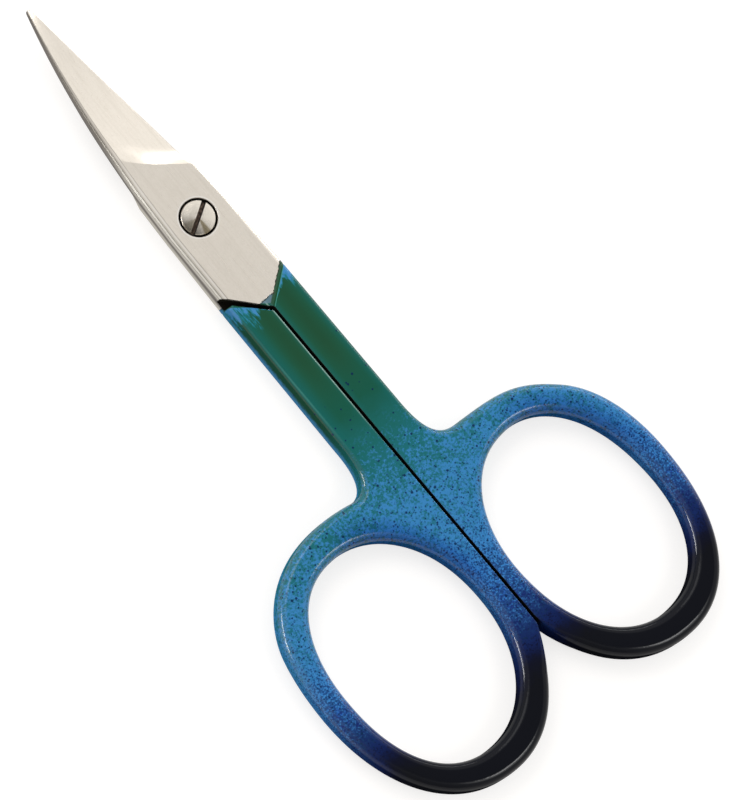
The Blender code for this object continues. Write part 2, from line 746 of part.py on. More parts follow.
def add_screw(material):
    """The pivot screw, turned from its section, with its slot cut by a Boolean."""
    mesh = bmesh.new()
    profile = screw_profile()
    rings = []
    for radius, z in profile:
        if radius == 0:
            rings.append([mesh.verts.new((0, 0, z))])
            continue
        row = []
        for step in range(SCREW_STEPS):
            angle = 2 * math.pi * step / SCREW_STEPS
            row.append(mesh.verts.new((radius * math.cos(angle), radius * math.sin(angle), z)))
        rings.append(row)
    for upper, lower in zip(rings, rings[1:]):
        for i in range(SCREW_STEPS):
            j = (i + 1) % SCREW_STEPS
            corners = [upper[i % len(upper)], lower[i % len(lower)]]
            corners += [lower[j % len(lower)], upper[j % len(upper)]]
            mesh.faces.new(list(dict.fromkeys(corners)))
    bmesh.ops.recalc_face_normals(mesh, faces=mesh.faces)
    data = bpy.data.meshes.new("pivot_screw")
    data.materials.append(material)
    mesh.to_mesh(data)
    mesh.free()
    data.shade_smooth()
    data.set_sharp_from_angle(angle=SHARP_ANGLE)
    screw = bpy.data.objects.new("pivot_screw", data)
    bpy.context.scene.collection.objects.link(screw)
    cut_slot(screw, material)
    return screw


def cut_slot(screw, material):
    face = HALF_THICKNESS + JOINT_FACE
    mesh = bmesh.new()
    bmesh.ops.create_cube(mesh, size=1)
    length = 2 * (SCREW_HEAD_RADIUS + CUT_OVERRUN)
    height = SLOT_DEPTH + CUT_OVERRUN
    bmesh.ops.scale(mesh, vec=(length, SLOT_WIDTH, height), verts=mesh.verts)
    bmesh.ops.translate(mesh, vec=(0, 0, face - SLOT_DEPTH + height / 2), verts=mesh.verts)
    bmesh.ops.rotate(mesh, matrix=Matrix.Rotation(SLOT_ANGLE, 3, "Z"), verts=mesh.verts)
    data = bpy.data.meshes.new("screw_slot_cutter")
    data.materials.append(material)
    mesh.to_mesh(data)
    mesh.free()
    cutter = bpy.data.objects.new("screw_slot_cutter", data)
    bpy.context.scene.collection.objects.link(cutter)
    cutter.hide_render = True
    cutter.display_type = "WIRE"
    cutter.parent = screw
    cut = screw.modifiers.new("slot", "BOOLEAN")
    cut.operation = "DIFFERENCE"
    cut.solver = "EXACT"
    cut.object = cutter


def front_bore_edge():
    """Bore with the recess that the screw's head sits in."""
    wall = RECESS_RADIUS - BORE_RADIUS
    seat = SCREW_EDGE_BREAK + SCREW_HEAD_WALL
    outer = [
        (0, seat + SCREW_CONE_HEIGHT),
        (wall, seat),
        (wall + RECESS_DRAFT, seat / 2),
        (wall + 2 * RECESS_DRAFT, SCREW_EDGE_BREAK),
        (wall + SCREW_EDGE_BREAK, 0),
    ]
    return Edge(outer, rounded(EDGE_BREAK, 0))


def rear_bore_edge():
    return Edge(rounded(JOINT_BREAK, JOINT_BREAK), rounded(EDGE_BREAK, 0))


def material(name, colour, metallic, roughness):
    made = bpy.data.materials.new(name)
    made.use_nodes = True
    shader = made.node_tree.nodes["Principled BSDF"]
    shader.inputs["Base Color"].default_value = (*colour, 1)
    shader.inputs["Metallic"].default_value = metallic
    shader.inputs["Roughness"].default_value = roughness
    return made


def main():
    for old in list(bpy.data.objects):
        bpy.data.objects.remove(old, do_unlink=True)
    steel = material("satin_steel", (0.66, 0.63, 0.59), 1, 0.34)
    paint = material("handle_paint", (0.06, 0.2, 0.36), 0, 0.3)
    screw_steel = material("screw_steel", (0.58, 0.55, 0.5), 1, 0.28)

    rear = add_half("rear_half", REAR_RING, rear_bore_edge(), True, (steel, paint))
    front = add_half("front_half", FRONT_RING, front_bore_edge(), False, (steel, paint))
    screw = add_screw(screw_steel)

    # The pivot's empty carries everything, so it puts the origin under the whole's middle
    corners = [v.co for part in (rear, front) for v in part.data.vertices]
    middle_x = (min(c.x for c in corners) + max(c.x for c in corners)) / 2
    middle_y = (min(c.y for c in corners) + max(c.y for c in corners)) / 2
    pivot = bpy.data.objects.new("pivot_axis", None)
    pivot.location = (-middle_x, -middle_y, 0)
    bpy.context.scene.collection.objects.link(pivot)
    for part in (rear, front, screw):
        part.parent = pivot


main()
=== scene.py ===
"""The looks of the manicure scissors: both forged halves and the screw as fine meshes, with
ground steel and speckled paint, on a plain white floor.

Metres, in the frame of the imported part: the closed scissors lie flat and point along +Y.
Each half is drawn in a frame of its own, centred on the pivot: u runs towards the side of
the half's finger ring, y towards the tips, and h from the middle plane towards the outer
face of the half. The rear half is then turned half round about Y.
"""

import json
import math
from collections import namedtuple

import bmesh
import bpy
import numpy as np
from mathutils import Matrix, Vector
from mathutils.geometry import delaunay_2d_cdt


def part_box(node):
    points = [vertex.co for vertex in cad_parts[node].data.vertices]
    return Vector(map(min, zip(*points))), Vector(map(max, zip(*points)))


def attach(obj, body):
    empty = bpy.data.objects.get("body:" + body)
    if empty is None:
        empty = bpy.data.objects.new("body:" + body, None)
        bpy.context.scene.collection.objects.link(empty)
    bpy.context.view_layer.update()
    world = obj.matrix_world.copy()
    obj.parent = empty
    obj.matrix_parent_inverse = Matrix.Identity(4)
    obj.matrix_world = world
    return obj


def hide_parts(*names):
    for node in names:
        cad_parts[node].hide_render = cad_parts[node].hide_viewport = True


# Heights
SHANK_THICKNESS = 0.0036
FACE_RELIEF = 0.00025
MATING_GAP = 0.0002
BLADE_RISE = 0.0024
CURVE_START_RADIUS = 0.0117

# Blade
TIP_Y = 0.02635
TIP_RADIUS = 0.00027
TIP_THICKNESS = 0.00048
TIP_BREAK_SHARE = 0.25
FULL_THICKNESS_Y = 0.009
HEEL_STEP = 0.0015
HEEL_SPINE_HALF = 0.0033
SPINE_BELLY = 0.00028
SPINE_FACET_WIDTH = 0.00068
SPINE_WALL_HEIGHT = 0.0001
EDGE_SET_BACK = 0.0002
EDGE_LAND = 0.00016
CUTTING_EDGE_BREAK = 0.00005
HOLLOW_DEPTH = 0.0001
PLUNGE_EDGE_Y = 0.0045
PLUNGE_SLANT = 0.0047
PLUNGE_RUN = 0.0022
PLUNGE_BEND_SHARES = (0.2, 0.66)

# Joint, outline at the middle plane
JOINT_EDGE_HALF = 0.00346
JOINT_EDGE_TOP_HALF = 0.00324
JOINT_SPINE_HALF = 0.00363
JOINT_BREAK = 0.0002
LAP_CORNER_HALF = 0.00374
LAP_CORNER_Y = -0.00755
LAP_END_DROP = 0.0041
LAP_GAP_OUTER = 0.0012
LAP_GAP_INNER = 0.0003
SHOULDER_DRAFT = 0.00014
SHOULDER_ROUNDING = 0.0002
FACE_RAMP_END = 0.00043
EDGE_BREAK = 0.0001

# Shanks
SHANK_TOP_HALF = 0.00373
SPLIT_X = -0.00012
SHANK_GAP = 0.0003
SHANK_INNER_BREAK = 0.00012
SHANK_OUTER_ROUNDING = 0.0005
SHANK_END_Y = -0.0265

# Finger rings
RING_ROUNDING = 0.00098
RING_ROUNDING_HEIGHT = 0.0012
CROTCH_DROP = 0.00105
CROTCH_RUN = 0.009
OVAL_POWER = 2.15
FILLET_HANDLE_SHARE = 0.7
FILLET_LIMIT_SHARE = 0.95
RingSizes = namedtuple(
    "RingSizes",
    "inner_side shank_half hole_half hole_tilt hole_bend inner_wall side_wall end_wall top_wall"
    " rim_shift rim_tilt rim_bend fillet_rise fillet_reach crest_leave crest_shares",
)
FRONT_SIZES = RingSizes(
    inner_side=SPLIT_X + SHANK_GAP / 2,
    shank_half=0.00375,
    hole_half=(0.00865, 0.01208),
    hole_tilt=math.radians(4.8),
    hole_bend=0.00025,
    inner_wall=0.00209,
    side_wall=0.0024,
    end_wall=0.00277,
    top_wall=0.00376,
    rim_shift=(0.00025, -0.00044),
    rim_tilt=math.radians(-1.75),
    rim_bend=0.00061,
    fillet_rise=0.00567,
    fillet_reach=0.00304,
    crest_leave=math.radians(58.5),
    crest_shares=(0.44, 0.48, -0.058),
)
REAR_SIZES = RingSizes(
    inner_side=SHANK_GAP / 2 - SPLIT_X,
    shank_half=0.00396,
    hole_half=(0.00888, 0.01213),
    hole_tilt=math.radians(-1.0),
    hole_bend=0.00047,
    inner_wall=0.00221,
    side_wall=0.00287,
    end_wall=0.00497,
    top_wall=0.00313,
    rim_shift=(-0.00018, 0.00166),
    rim_tilt=math.radians(3.3),
    rim_bend=-0.00023,
    fillet_rise=0.00501,
    fillet_reach=0.00288,
    crest_leave=math.radians(16.5),
    crest_shares=(0.2, 0.7, 0.2),
)

# Pivot screw
SCREW_SHAFT_RADIUS = 0.00105
SCREW_HEAD_RADIUS = 0.0018
SCREW_HEAD_WALL = 0.0005
SCREW_HEAD_DOME = 0.00014
SCREW_CONE_HEIGHT = 0.0006
SCREW_EDGE_BREAK = 0.00008
SLOT_WIDTH = 0.00048
SLOT_DEPTH = 0.0005
SLOT_ANGLE = math.radians(30)
SLOT_EDGE_BREAK = 0.00002
SCREW_CLEARANCE = 0.00016
RECESS_DRAFT = 0.00001
CUT_OVERRUN = 0.001

# Fineness of the meshes
EDGE_LEVELS = 12
RIM_STEPS = 320
RIM_BLEND_STEPS = 40
HOLE_STEPS = 280
OVAL_FINENESS = 6
CREST_STEPS = 56
FILLET_STEPS = 48
BLADE_STEPS = 60
PLUNGE_STEPS = 28
BORE_STEPS = 128
SCREW_STEPS = 144
FACE_SHARES = (0.1, 0.2, 0.3, 0.4, 0.5, 0.6, 0.7, 0.8, 0.9)
PLUNGE_FACE_SHARES = (0.03, 0.09, 0.17, 0.27, 0.38, 0.5, 0.62, 0.75, 0.88, 1.0)
SPINE_PROFILE_SHARES = (
    (0, 1), (0.02, 0.85), (0.05, 0.6), (0.08, 0.37), (0.095, 0.31), (0.12, 0.275), (0.33, 0.163),
    (0.35, 0.178), (0.39, 0.176), (0.41, 0.146), (0.95, 0.012), (0.97, 0.007), (1, 0),
)
DOME_SHARES = (0, 0.12, 0.25, 0.38, 0.5, 0.62, 0.73, 0.83, 0.91, 0.96)
SHARP_ANGLE = math.radians(24)
MITRE_ANGLE = math.radians(14.5)
ANGLE_HALVINGS = 40
SMALL_TURN = math.radians(1)
FLAT_FACE_WEIGHT = 100

# Camera
VIEW_TILT = math.radians(17.4)
VIEW_TURN = math.radians(40.11)
VIEW_CENTRE_X = 0.00214
VIEW_CENTRE_Y = -0.0068
VIEW_HEIGHT = 0.07952
CAMERA_DISTANCE = 0.8
SENSOR_SIZE = 36
CAMERA_REACH = (0.01, 10)

HALF_THICKNESS = SHANK_THICKNESS / 2
JOINT_FACE = HALF_THICKNESS - FACE_RELIEF
MATING_FACE = MATING_GAP / 2
TIP_TOP_Y = TIP_Y + TIP_RADIUS
HEEL_Y = PLUNGE_EDGE_Y + HEEL_STEP
PLUNGE_SPINE_Y = PLUNGE_EDGE_Y + PLUNGE_SLANT
LAP_END_Y = LAP_CORNER_Y - LAP_END_DROP
SHOULDER_Y = LAP_CORNER_Y - LAP_GAP_OUTER
SHOULDER_INNER_Y = LAP_END_Y + SHANK_GAP * LAP_END_DROP / LAP_CORNER_HALF - LAP_GAP_INNER
SHOULDER_RUN = SHOULDER_DRAFT + SHOULDER_ROUNDING
BORE_RADIUS = SCREW_SHAFT_RADIUS + SCREW_CLEARANCE
RECESS_RADIUS = SCREW_HEAD_RADIUS + SCREW_CLEARANCE
SHOULDER_WALL_SHARE = 1 - SHOULDER_ROUNDING / (MATING_FACE + HALF_THICKNESS)
SHOULDER_RAMP_SHARE = SHOULDER_DRAFT / SHOULDER_RUN

Edge = namedtuple("Edge", "outer inner")
Point = namedtuple("Point", "u y before after outer_share inner_share name")
Oval = namedtuple("Oval", "centre half tilt bend")
Ring = namedtuple("Ring", "sizes hole rim crest_start")


def ring_shape(sizes):
    """A finger ring, placed from the end of its shank down: fillet, top wall, hole, rim."""
    width, length = sizes.hole_half
    crest_x = sizes.shank_half + sizes.fillet_reach
    crest_y = SHANK_END_Y - sizes.fillet_rise
    hole_x = sizes.inner_side + sizes.inner_wall + width
    hole_y = crest_y - sizes.top_wall - length
    hole = Oval((hole_x, hole_y), sizes.hole_half, sizes.hole_tilt, sizes.hole_bend)
    rim_centre = (hole_x + sizes.rim_shift[0], hole_y + sizes.rim_shift[1])
    rim_half = (width + sizes.side_wall, length + sizes.end_wall)
    rim = Oval(rim_centre, rim_half, sizes.rim_tilt, sizes.rim_bend)
    return Ring(sizes, hole, rim, (crest_x, crest_y))


FRONT_RING = ring_shape(FRONT_SIZES)
REAR_RING = ring_shape(REAR_SIZES)


def mix(a, b, share):
    return a + (b - a) * share


def bow(share):
    """A parabola that is zero at both ends and 1 half way."""
    return 4 * share * (1 - share)


def bezier(points, steps):
    """Points along a quadratic or cubic Bezier curve, both ends among them."""
    found = []
    for step in range(steps + 1):
        level = [Vector(p) for p in points]
        for _ in points[1:]:
            level = [a.lerp(b, step / steps) for a, b in zip(level, level[1:])]
        found.append(level[0])
    return found


def oval_point(oval, angle):
    """A point on a superellipse, a little squarer than an ellipse, whose ends lean sideways."""
    cosine, sine = math.cos(angle), math.sin(angle)
    along_share = math.copysign(abs(sine) ** (2 / OVAL_POWER), sine)
    across = oval.half[0] * math.copysign(abs(cosine) ** (2 / OVAL_POWER), cosine)
    across += oval.bend * along_share**2
    along = oval.half[1] * along_share
    turned = Vector((across, along))
    turned.rotate(Matrix.Rotation(oval.tilt, 2))
    return Vector(oval.centre) + turned


def even_oval(oval, start, stop, steps):
    """Points along part of an oval, evenly spaced by length."""
    fine = OVAL_FINENESS * steps
    return evenly([oval_point(oval, mix(start, stop, i / fine)) for i in range(fine + 1)], steps)


def evenly(fine, steps):
    """Reads a fine line of points again at even distances along it."""
    reach = [0.0]
    for a, b in zip(fine, fine[1:]):
        reach.append(reach[-1] + (b - a).length)
    found = [fine[0]]
    at = 0
    for step in range(1, steps):
        wanted = reach[-1] * step / steps
        while reach[at + 1] < wanted:
            at += 1
        share = (wanted - reach[at]) / (reach[at + 1] - reach[at])
        found.append(fine[at].lerp(fine[at + 1], share))
    found.append(fine[-1])
    return found


# Edge profiles: pairs of inset from the outline and drop below the face, wall first


def rounded(inset, drop):
    angles = [math.pi / 2 * level / EDGE_LEVELS for level in range(EDGE_LEVELS + 1)]
    return [(inset * (1 - math.cos(a)), drop * (1 - math.sin(a))) for a in angles]


def level_rim(inset):
    """The plain edge of a mating face, which isn't rounded."""
    return [(inset * level / EDGE_LEVELS, 0) for level in range(EDGE_LEVELS + 1)]


def mix_profiles(a, b, share):
    return [(mix(p[0], q[0], share), mix(p[1], q[1], share)) for p, q in zip(a, b)]


def mix_edges(a, b, share):
    return Edge(mix_profiles(a.outer, b.outer, share), mix_profiles(a.inner, b.inner, share))


def same_both_sides(profile):
    return Edge(profile, profile)


def blade_share(y):
    """How much of the heel's width the blade still has."""
    return min(1.0, spine_half(y) / HEEL_SPINE_HALF)


def spine_edge(y):
    """The stepped bevel along the spine, with the fine groove between its facets."""
    share = blade_share(y)
    drop = spine_face(y) - MATING_FACE - SPINE_WALL_HEIGHT
    outer = [(SPINE_FACET_WIDTH * share * a, drop * b) for a, b in SPINE_PROFILE_SHARES]
    return Edge(outer, level_rim(EDGE_BREAK * share))


def fillet(size, room):
    """A rounding, limited by the room that the metal leaves it."""
    return min(size, FILLET_LIMIT_SHARE * room)


SMALLEST_WALL = min(min(sizes.inner_wall, sizes.side_wall) for sizes in (FRONT_SIZES, REAR_SIZES))
RING_EDGE = same_both_sides(
    rounded(fillet(RING_ROUNDING, SMALLEST_WALL / 2), fillet(RING_ROUNDING_HEIGHT, HALF_THICKNESS))
)
SHANK_INNER_EDGE = same_both_sides(rounded(SHANK_INNER_BREAK, SHANK_INNER_BREAK))
SHANK_OUTER_EDGE = same_both_sides(rounded(SHANK_OUTER_ROUNDING, SHANK_OUTER_ROUNDING))
JOINT_EDGE = Edge(rounded(JOINT_BREAK, JOINT_BREAK), level_rim(EDGE_BREAK))
SHOULDER_EDGE = Edge(rounded(SHANK_OUTER_ROUNDING, JOINT_BREAK), level_rim(SHANK_OUTER_ROUNDING))
LAP_EDGE = Edge(rounded(EDGE_BREAK, EDGE_BREAK), level_rim(EDGE_BREAK))
CUTTING_EDGE = Edge(
    rounded(CUTTING_EDGE_BREAK, fillet(CUTTING_EDGE_BREAK, EDGE_LAND)),
    level_rim(CUTTING_EDGE_BREAK),
)
TIP_BREAK = TIP_RADIUS * TIP_BREAK_SHARE
TIP_EDGE = Edge(rounded(TIP_BREAK, TIP_BREAK), level_rim(TIP_BREAK))


# Blade shape


def spine_half(y):
    """Distance from the centre line to the spine: a straight taper with a belly."""
    share = (y - HEEL_Y) / (TIP_Y - HEEL_Y)
    return mix(HEEL_SPINE_HALF, TIP_RADIUS, share) + SPINE_BELLY * bow(share)


def edge_half(y):
    share = (y - HEEL_Y) / (TIP_Y - HEEL_Y)
    return spine_half(y) - EDGE_SET_BACK * (1 - share)


def spine_face(y):
    """Height of the blade's outer face beside the spine."""
    share = max(0.0, (y - FULL_THICKNESS_Y) / (TIP_Y - FULL_THICKNESS_Y))
    return mix(JOINT_FACE, MATING_FACE + TIP_THICKNESS, min(1.0, share))


def plunge_line():
    """Where the flat joint face ends and the hollow-ground blade face begins."""
    start = Vector((edge_half(PLUNGE_EDGE_Y), PLUNGE_EDGE_Y))
    end = Vector((SPINE_FACET_WIDTH - spine_half(PLUNGE_SPINE_Y), PLUNGE_SPINE_Y))
    across_share, along_share = PLUNGE_BEND_SHARES
    bend = Vector((mix(end.x, start.x, across_share), mix(start.y, end.y, along_share)))
    return bezier([start, bend, end], PLUNGE_STEPS)


def beyond_plunge(u, y, line):
    """Distance from the plunge line, positive towards the tip."""
    here = Vector((u, y))
    best = None
    for a, b in zip(line, line[1:]):
        along = b - a
        share = max(0.0, min(1.0, (here - a).dot(along) / along.length_squared))
        away = here - (a + along * share)
        side = 1 if along.x * away.y - along.y * away.x < 0 else -1
        if best is None or away.length < abs(best):
            best = side * away.length
    return best


def outer_face(u, y, line):
    """Height of the joint and blade face over the middle plane, before the blade's lift."""
    if y < PLUNGE_EDGE_Y:
        return JOINT_FACE
    beyond = beyond_plunge(u, y, line)
    if beyond <= 0:
        return JOINT_FACE
    face_start = SPINE_FACET_WIDTH * blade_share(y) - spine_half(y)
    face_end = edge_half(y)
    across = min(1.0, max(0.0, (u - face_start) / (face_end - face_start)))
    ground = mix(spine_face(y), MATING_FACE + EDGE_LAND, across)
    ground -= HOLLOW_DEPTH * blade_share(y) * bow(across)
    left = max(0.0, 1 - beyond / PLUNGE_RUN) ** 2
    return mix(ground, JOINT_FACE, left)


def lift(u, y):
    """The blades' upward curve, which depends on the distance from the pivot alone."""
    if y < 0:
        return 0.0
    share = (math.hypot(u, y) - CURVE_START_RADIUS) / (TIP_TOP_Y - CURVE_START_RADIUS)
    return BLADE_RISE * max(0.0, share) ** 2


# Outline of a half, anticlockwise as seen from its outer side


def named(u, y, edge, outer_share, inner_share, name=""):
    """An outline point, with how far the outer and inner face have grown to full height there."""
    return Point(u, y, edge, edge, outer_share, inner_share, name)


def run(places, edge_start, edge_end):
    """Outline points of full height along a line of places, with the edge changing evenly."""
    last = len(places) - 1
    edges = [mix_edges(edge_start, edge_end, i / last) for i in range(last + 1)]
    return [named(place.x, place.y, edge, 1, 1) for place, edge in zip(places, edges)]


def angle_at_inner_side(ring):
    """The angle at which the rim's oval leaves the shank's straight inner side."""
    low, high = math.pi, 1.5 * math.pi
    for _ in range(ANGLE_HALVINGS):
        middle = (low + high) / 2
        if oval_point(ring.rim, middle).x < ring.sizes.inner_side:
            low = middle
        else:
            high = middle
    return high


def inner_side_points(ring):
    """Down the shank's straight inner side, which stops the other half when closed."""
    u = ring.sizes.inner_side
    foot = SHOULDER_INNER_Y
    ring_top = ring.crest_start[1]
    rim_start = oval_point(ring.rim, angle_at_inner_side(ring)).y
    found = [
        named(u, LAP_END_Y, SHANK_INNER_EDGE, 1, 0, "step shank"),
        named(u, foot, SHANK_INNER_EDGE, 1, 0, "shoulder foot"),
        named(u, foot - SHOULDER_DRAFT, SHANK_INNER_EDGE, 1, SHOULDER_WALL_SHARE, "shoulder edge"),
        named(u, foot - SHOULDER_RUN, SHANK_INNER_EDGE, 1, 1, "shoulder top"),
    ]
    for y in (SHANK_END_Y, ring_top, mix(ring_top, rim_start, 1 / 2)):
        found.append(named(u, y, SHANK_INNER_EDGE, 1, 1))
    return found


def rim_points(ring):
    """Round the outside of the finger ring, from the inner side to the crest."""
    start = angle_at_inner_side(ring)
    places = even_oval(ring.rim, start, 2 * math.pi + ring.sizes.crest_leave, RIM_STEPS)
    spacing = (places[1] - places[0]).length
    for i, place in enumerate(places):
        place.y -= CROTCH_DROP * max(0.0, 1 - i * spacing / CROTCH_RUN) ** 2
    growing = run(places[: RIM_BLEND_STEPS + 1], SHANK_INNER_EDGE, RING_EDGE)
    return growing + run(places[RIM_BLEND_STEPS + 1 :], RING_EDGE, RING_EDGE)


def crest_points(ring):
    """Back over the top of the ring to the shank, then up the fillet between them."""
    leave_share, arrive_share, slope_share = ring.sizes.crest_shares
    leave = oval_point(ring.rim, ring.sizes.crest_leave)
    just_before = oval_point(ring.rim, ring.sizes.crest_leave - SMALL_TURN)
    start = Vector(ring.crest_start)
    slope = Vector((1, slope_share))
    reach = leave.x - start.x
    leave_handle = leave + (leave - just_before).normalized() * reach * leave_share
    arrive_handle = start + slope * reach * arrive_share
    fine = bezier([leave, leave_handle, arrive_handle, start], OVAL_FINENESS * CREST_STEPS)
    crest = evenly(fine, CREST_STEPS)
    foot = Vector((ring.sizes.shank_half, SHANK_END_Y))
    handle = (start - foot) * FILLET_HANDLE_SHARE
    side = bezier(
        [start, start - slope * handle.x, foot + Vector((0, handle.y)), foot],
        FILLET_STEPS,
    )
    return run(crest[1:], RING_EDGE, RING_EDGE) + run(side[1:], RING_EDGE, SHANK_OUTER_EDGE)


def shank_side_points():
    """Up the shank's outer side, over the shoulder and along the joint."""
    foot = SHOULDER_Y
    u = SHANK_TOP_HALF
    edge_y = foot - SHOULDER_DRAFT
    shares = (SHOULDER_RAMP_SHARE, SHOULDER_WALL_SHARE)
    return [
        named(u, foot - SHOULDER_RUN, SHANK_OUTER_EDGE, 1, 1, "shoulder top"),
        named(u, edge_y, SHANK_OUTER_EDGE, *shares, "shoulder edge"),
        named(u, foot, SHOULDER_EDGE, 0, 0, "shoulder foot"),
        named(JOINT_EDGE_HALF, 0, JOINT_EDGE, 0, 0),
        named(JOINT_EDGE_TOP_HALF, PLUNGE_EDGE_Y, JOINT_EDGE, 0, 0, "plunge"),
    ]


def blade_points():
    """Up the cutting edge, round the tip and down the spine."""
    found = []
    for step in range(BLADE_STEPS):
        y = mix(HEEL_Y, TIP_Y, step / BLADE_STEPS)
        found.append(named(edge_half(y), y, CUTTING_EDGE, 0, 0))
    for step in range(EDGE_LEVELS + 1):
        angle = math.pi * step / EDGE_LEVELS
        place = Vector((math.cos(angle), math.sin(angle))) * TIP_RADIUS
        found.append(named(place.x, TIP_Y + place.y, TIP_EDGE, 0, 0))
    for step in range(1, BLADE_STEPS):
        y = mix(TIP_Y, PLUNGE_SPINE_Y, step / BLADE_STEPS)
        found.append(named(-spine_half(y), y, spine_edge(y), 0, 0, "spine"))
    y = PLUNGE_SPINE_Y
    found.append(named(-spine_half(y), y, spine_edge(y), 0, 0, "spine plunge"))
    found.append(named(-spine_half(HEEL_Y), HEEL_Y, spine_edge(HEEL_Y), 0, 0, "spine"))
    return found


def lap_points():
    """Down the joint's spine side and along the slanted end of the lap."""
    spine = spine_edge(0)
    corner = Point(-LAP_CORNER_HALF, LAP_CORNER_Y, spine, LAP_EDGE, 0, 0, "spine")
    return [named(-JOINT_SPINE_HALF, 0, spine, 0, 0, "spine"), corner]


def outline(ring):
    lap_end = Vector((ring.sizes.inner_side, LAP_END_Y))
    corner = Vector((-LAP_CORNER_HALF, LAP_CORNER_Y))
    ramp_top = lap_end + (corner - lap_end).normalized() * FACE_RAMP_END
    return (
        inner_side_points(ring)
        + rim_points(ring)
        + crest_points(ring)
        + shank_side_points()
        + blade_points()
        + lap_points()
        + [named(ramp_top.x, ramp_top.y, LAP_EDGE, 0, 0, "step joint")]
    )


def finger_hole(ring):
    """The finger hole, clockwise, so that the metal lies on its left."""
    places = even_oval(ring.hole, 2 * math.pi, 0, HOLE_STEPS)
    return run(places[:-1], RING_EDGE, RING_EDGE)


def pivot_bore(edge):
    """The bore for the screw, clockwise."""
    found = []
    for step in range(BORE_STEPS):
        angle = -2 * math.pi * step / BORE_STEPS
        u, y = BORE_RADIUS * math.cos(angle), BORE_RADIUS * math.sin(angle)
        found.append(named(u, y, edge, 0, 0))
    return found


SPINE_NAMES = ("spine", "spine plunge")


def inset_place(before, here, after, width_before, width_after):
    """The corner of a line that runs inside the outline, at its own distance from each side."""
    side_before = (here - before).normalized()
    side_after = (after - here).normalized()
    normal_before = Vector((-side_before.y, side_before.x))
    normal_after = Vector((-side_after.y, side_after.x))
    turn = normal_before.x * normal_after.y - normal_before.y * normal_after.x
    if abs(turn) < math.sin(MITRE_ANGLE) or normal_before.dot(normal_after) < 0:
        both = normal_before + normal_after
        width = (width_before + width_after) / 2
        return here + both * width * 2 / max(1.0, both.length_squared)
    across = width_before * normal_after.y - width_after * normal_before.y
    along = width_after * normal_before.x - width_before * normal_after.x
    return here + Vector((across, along)) / turn


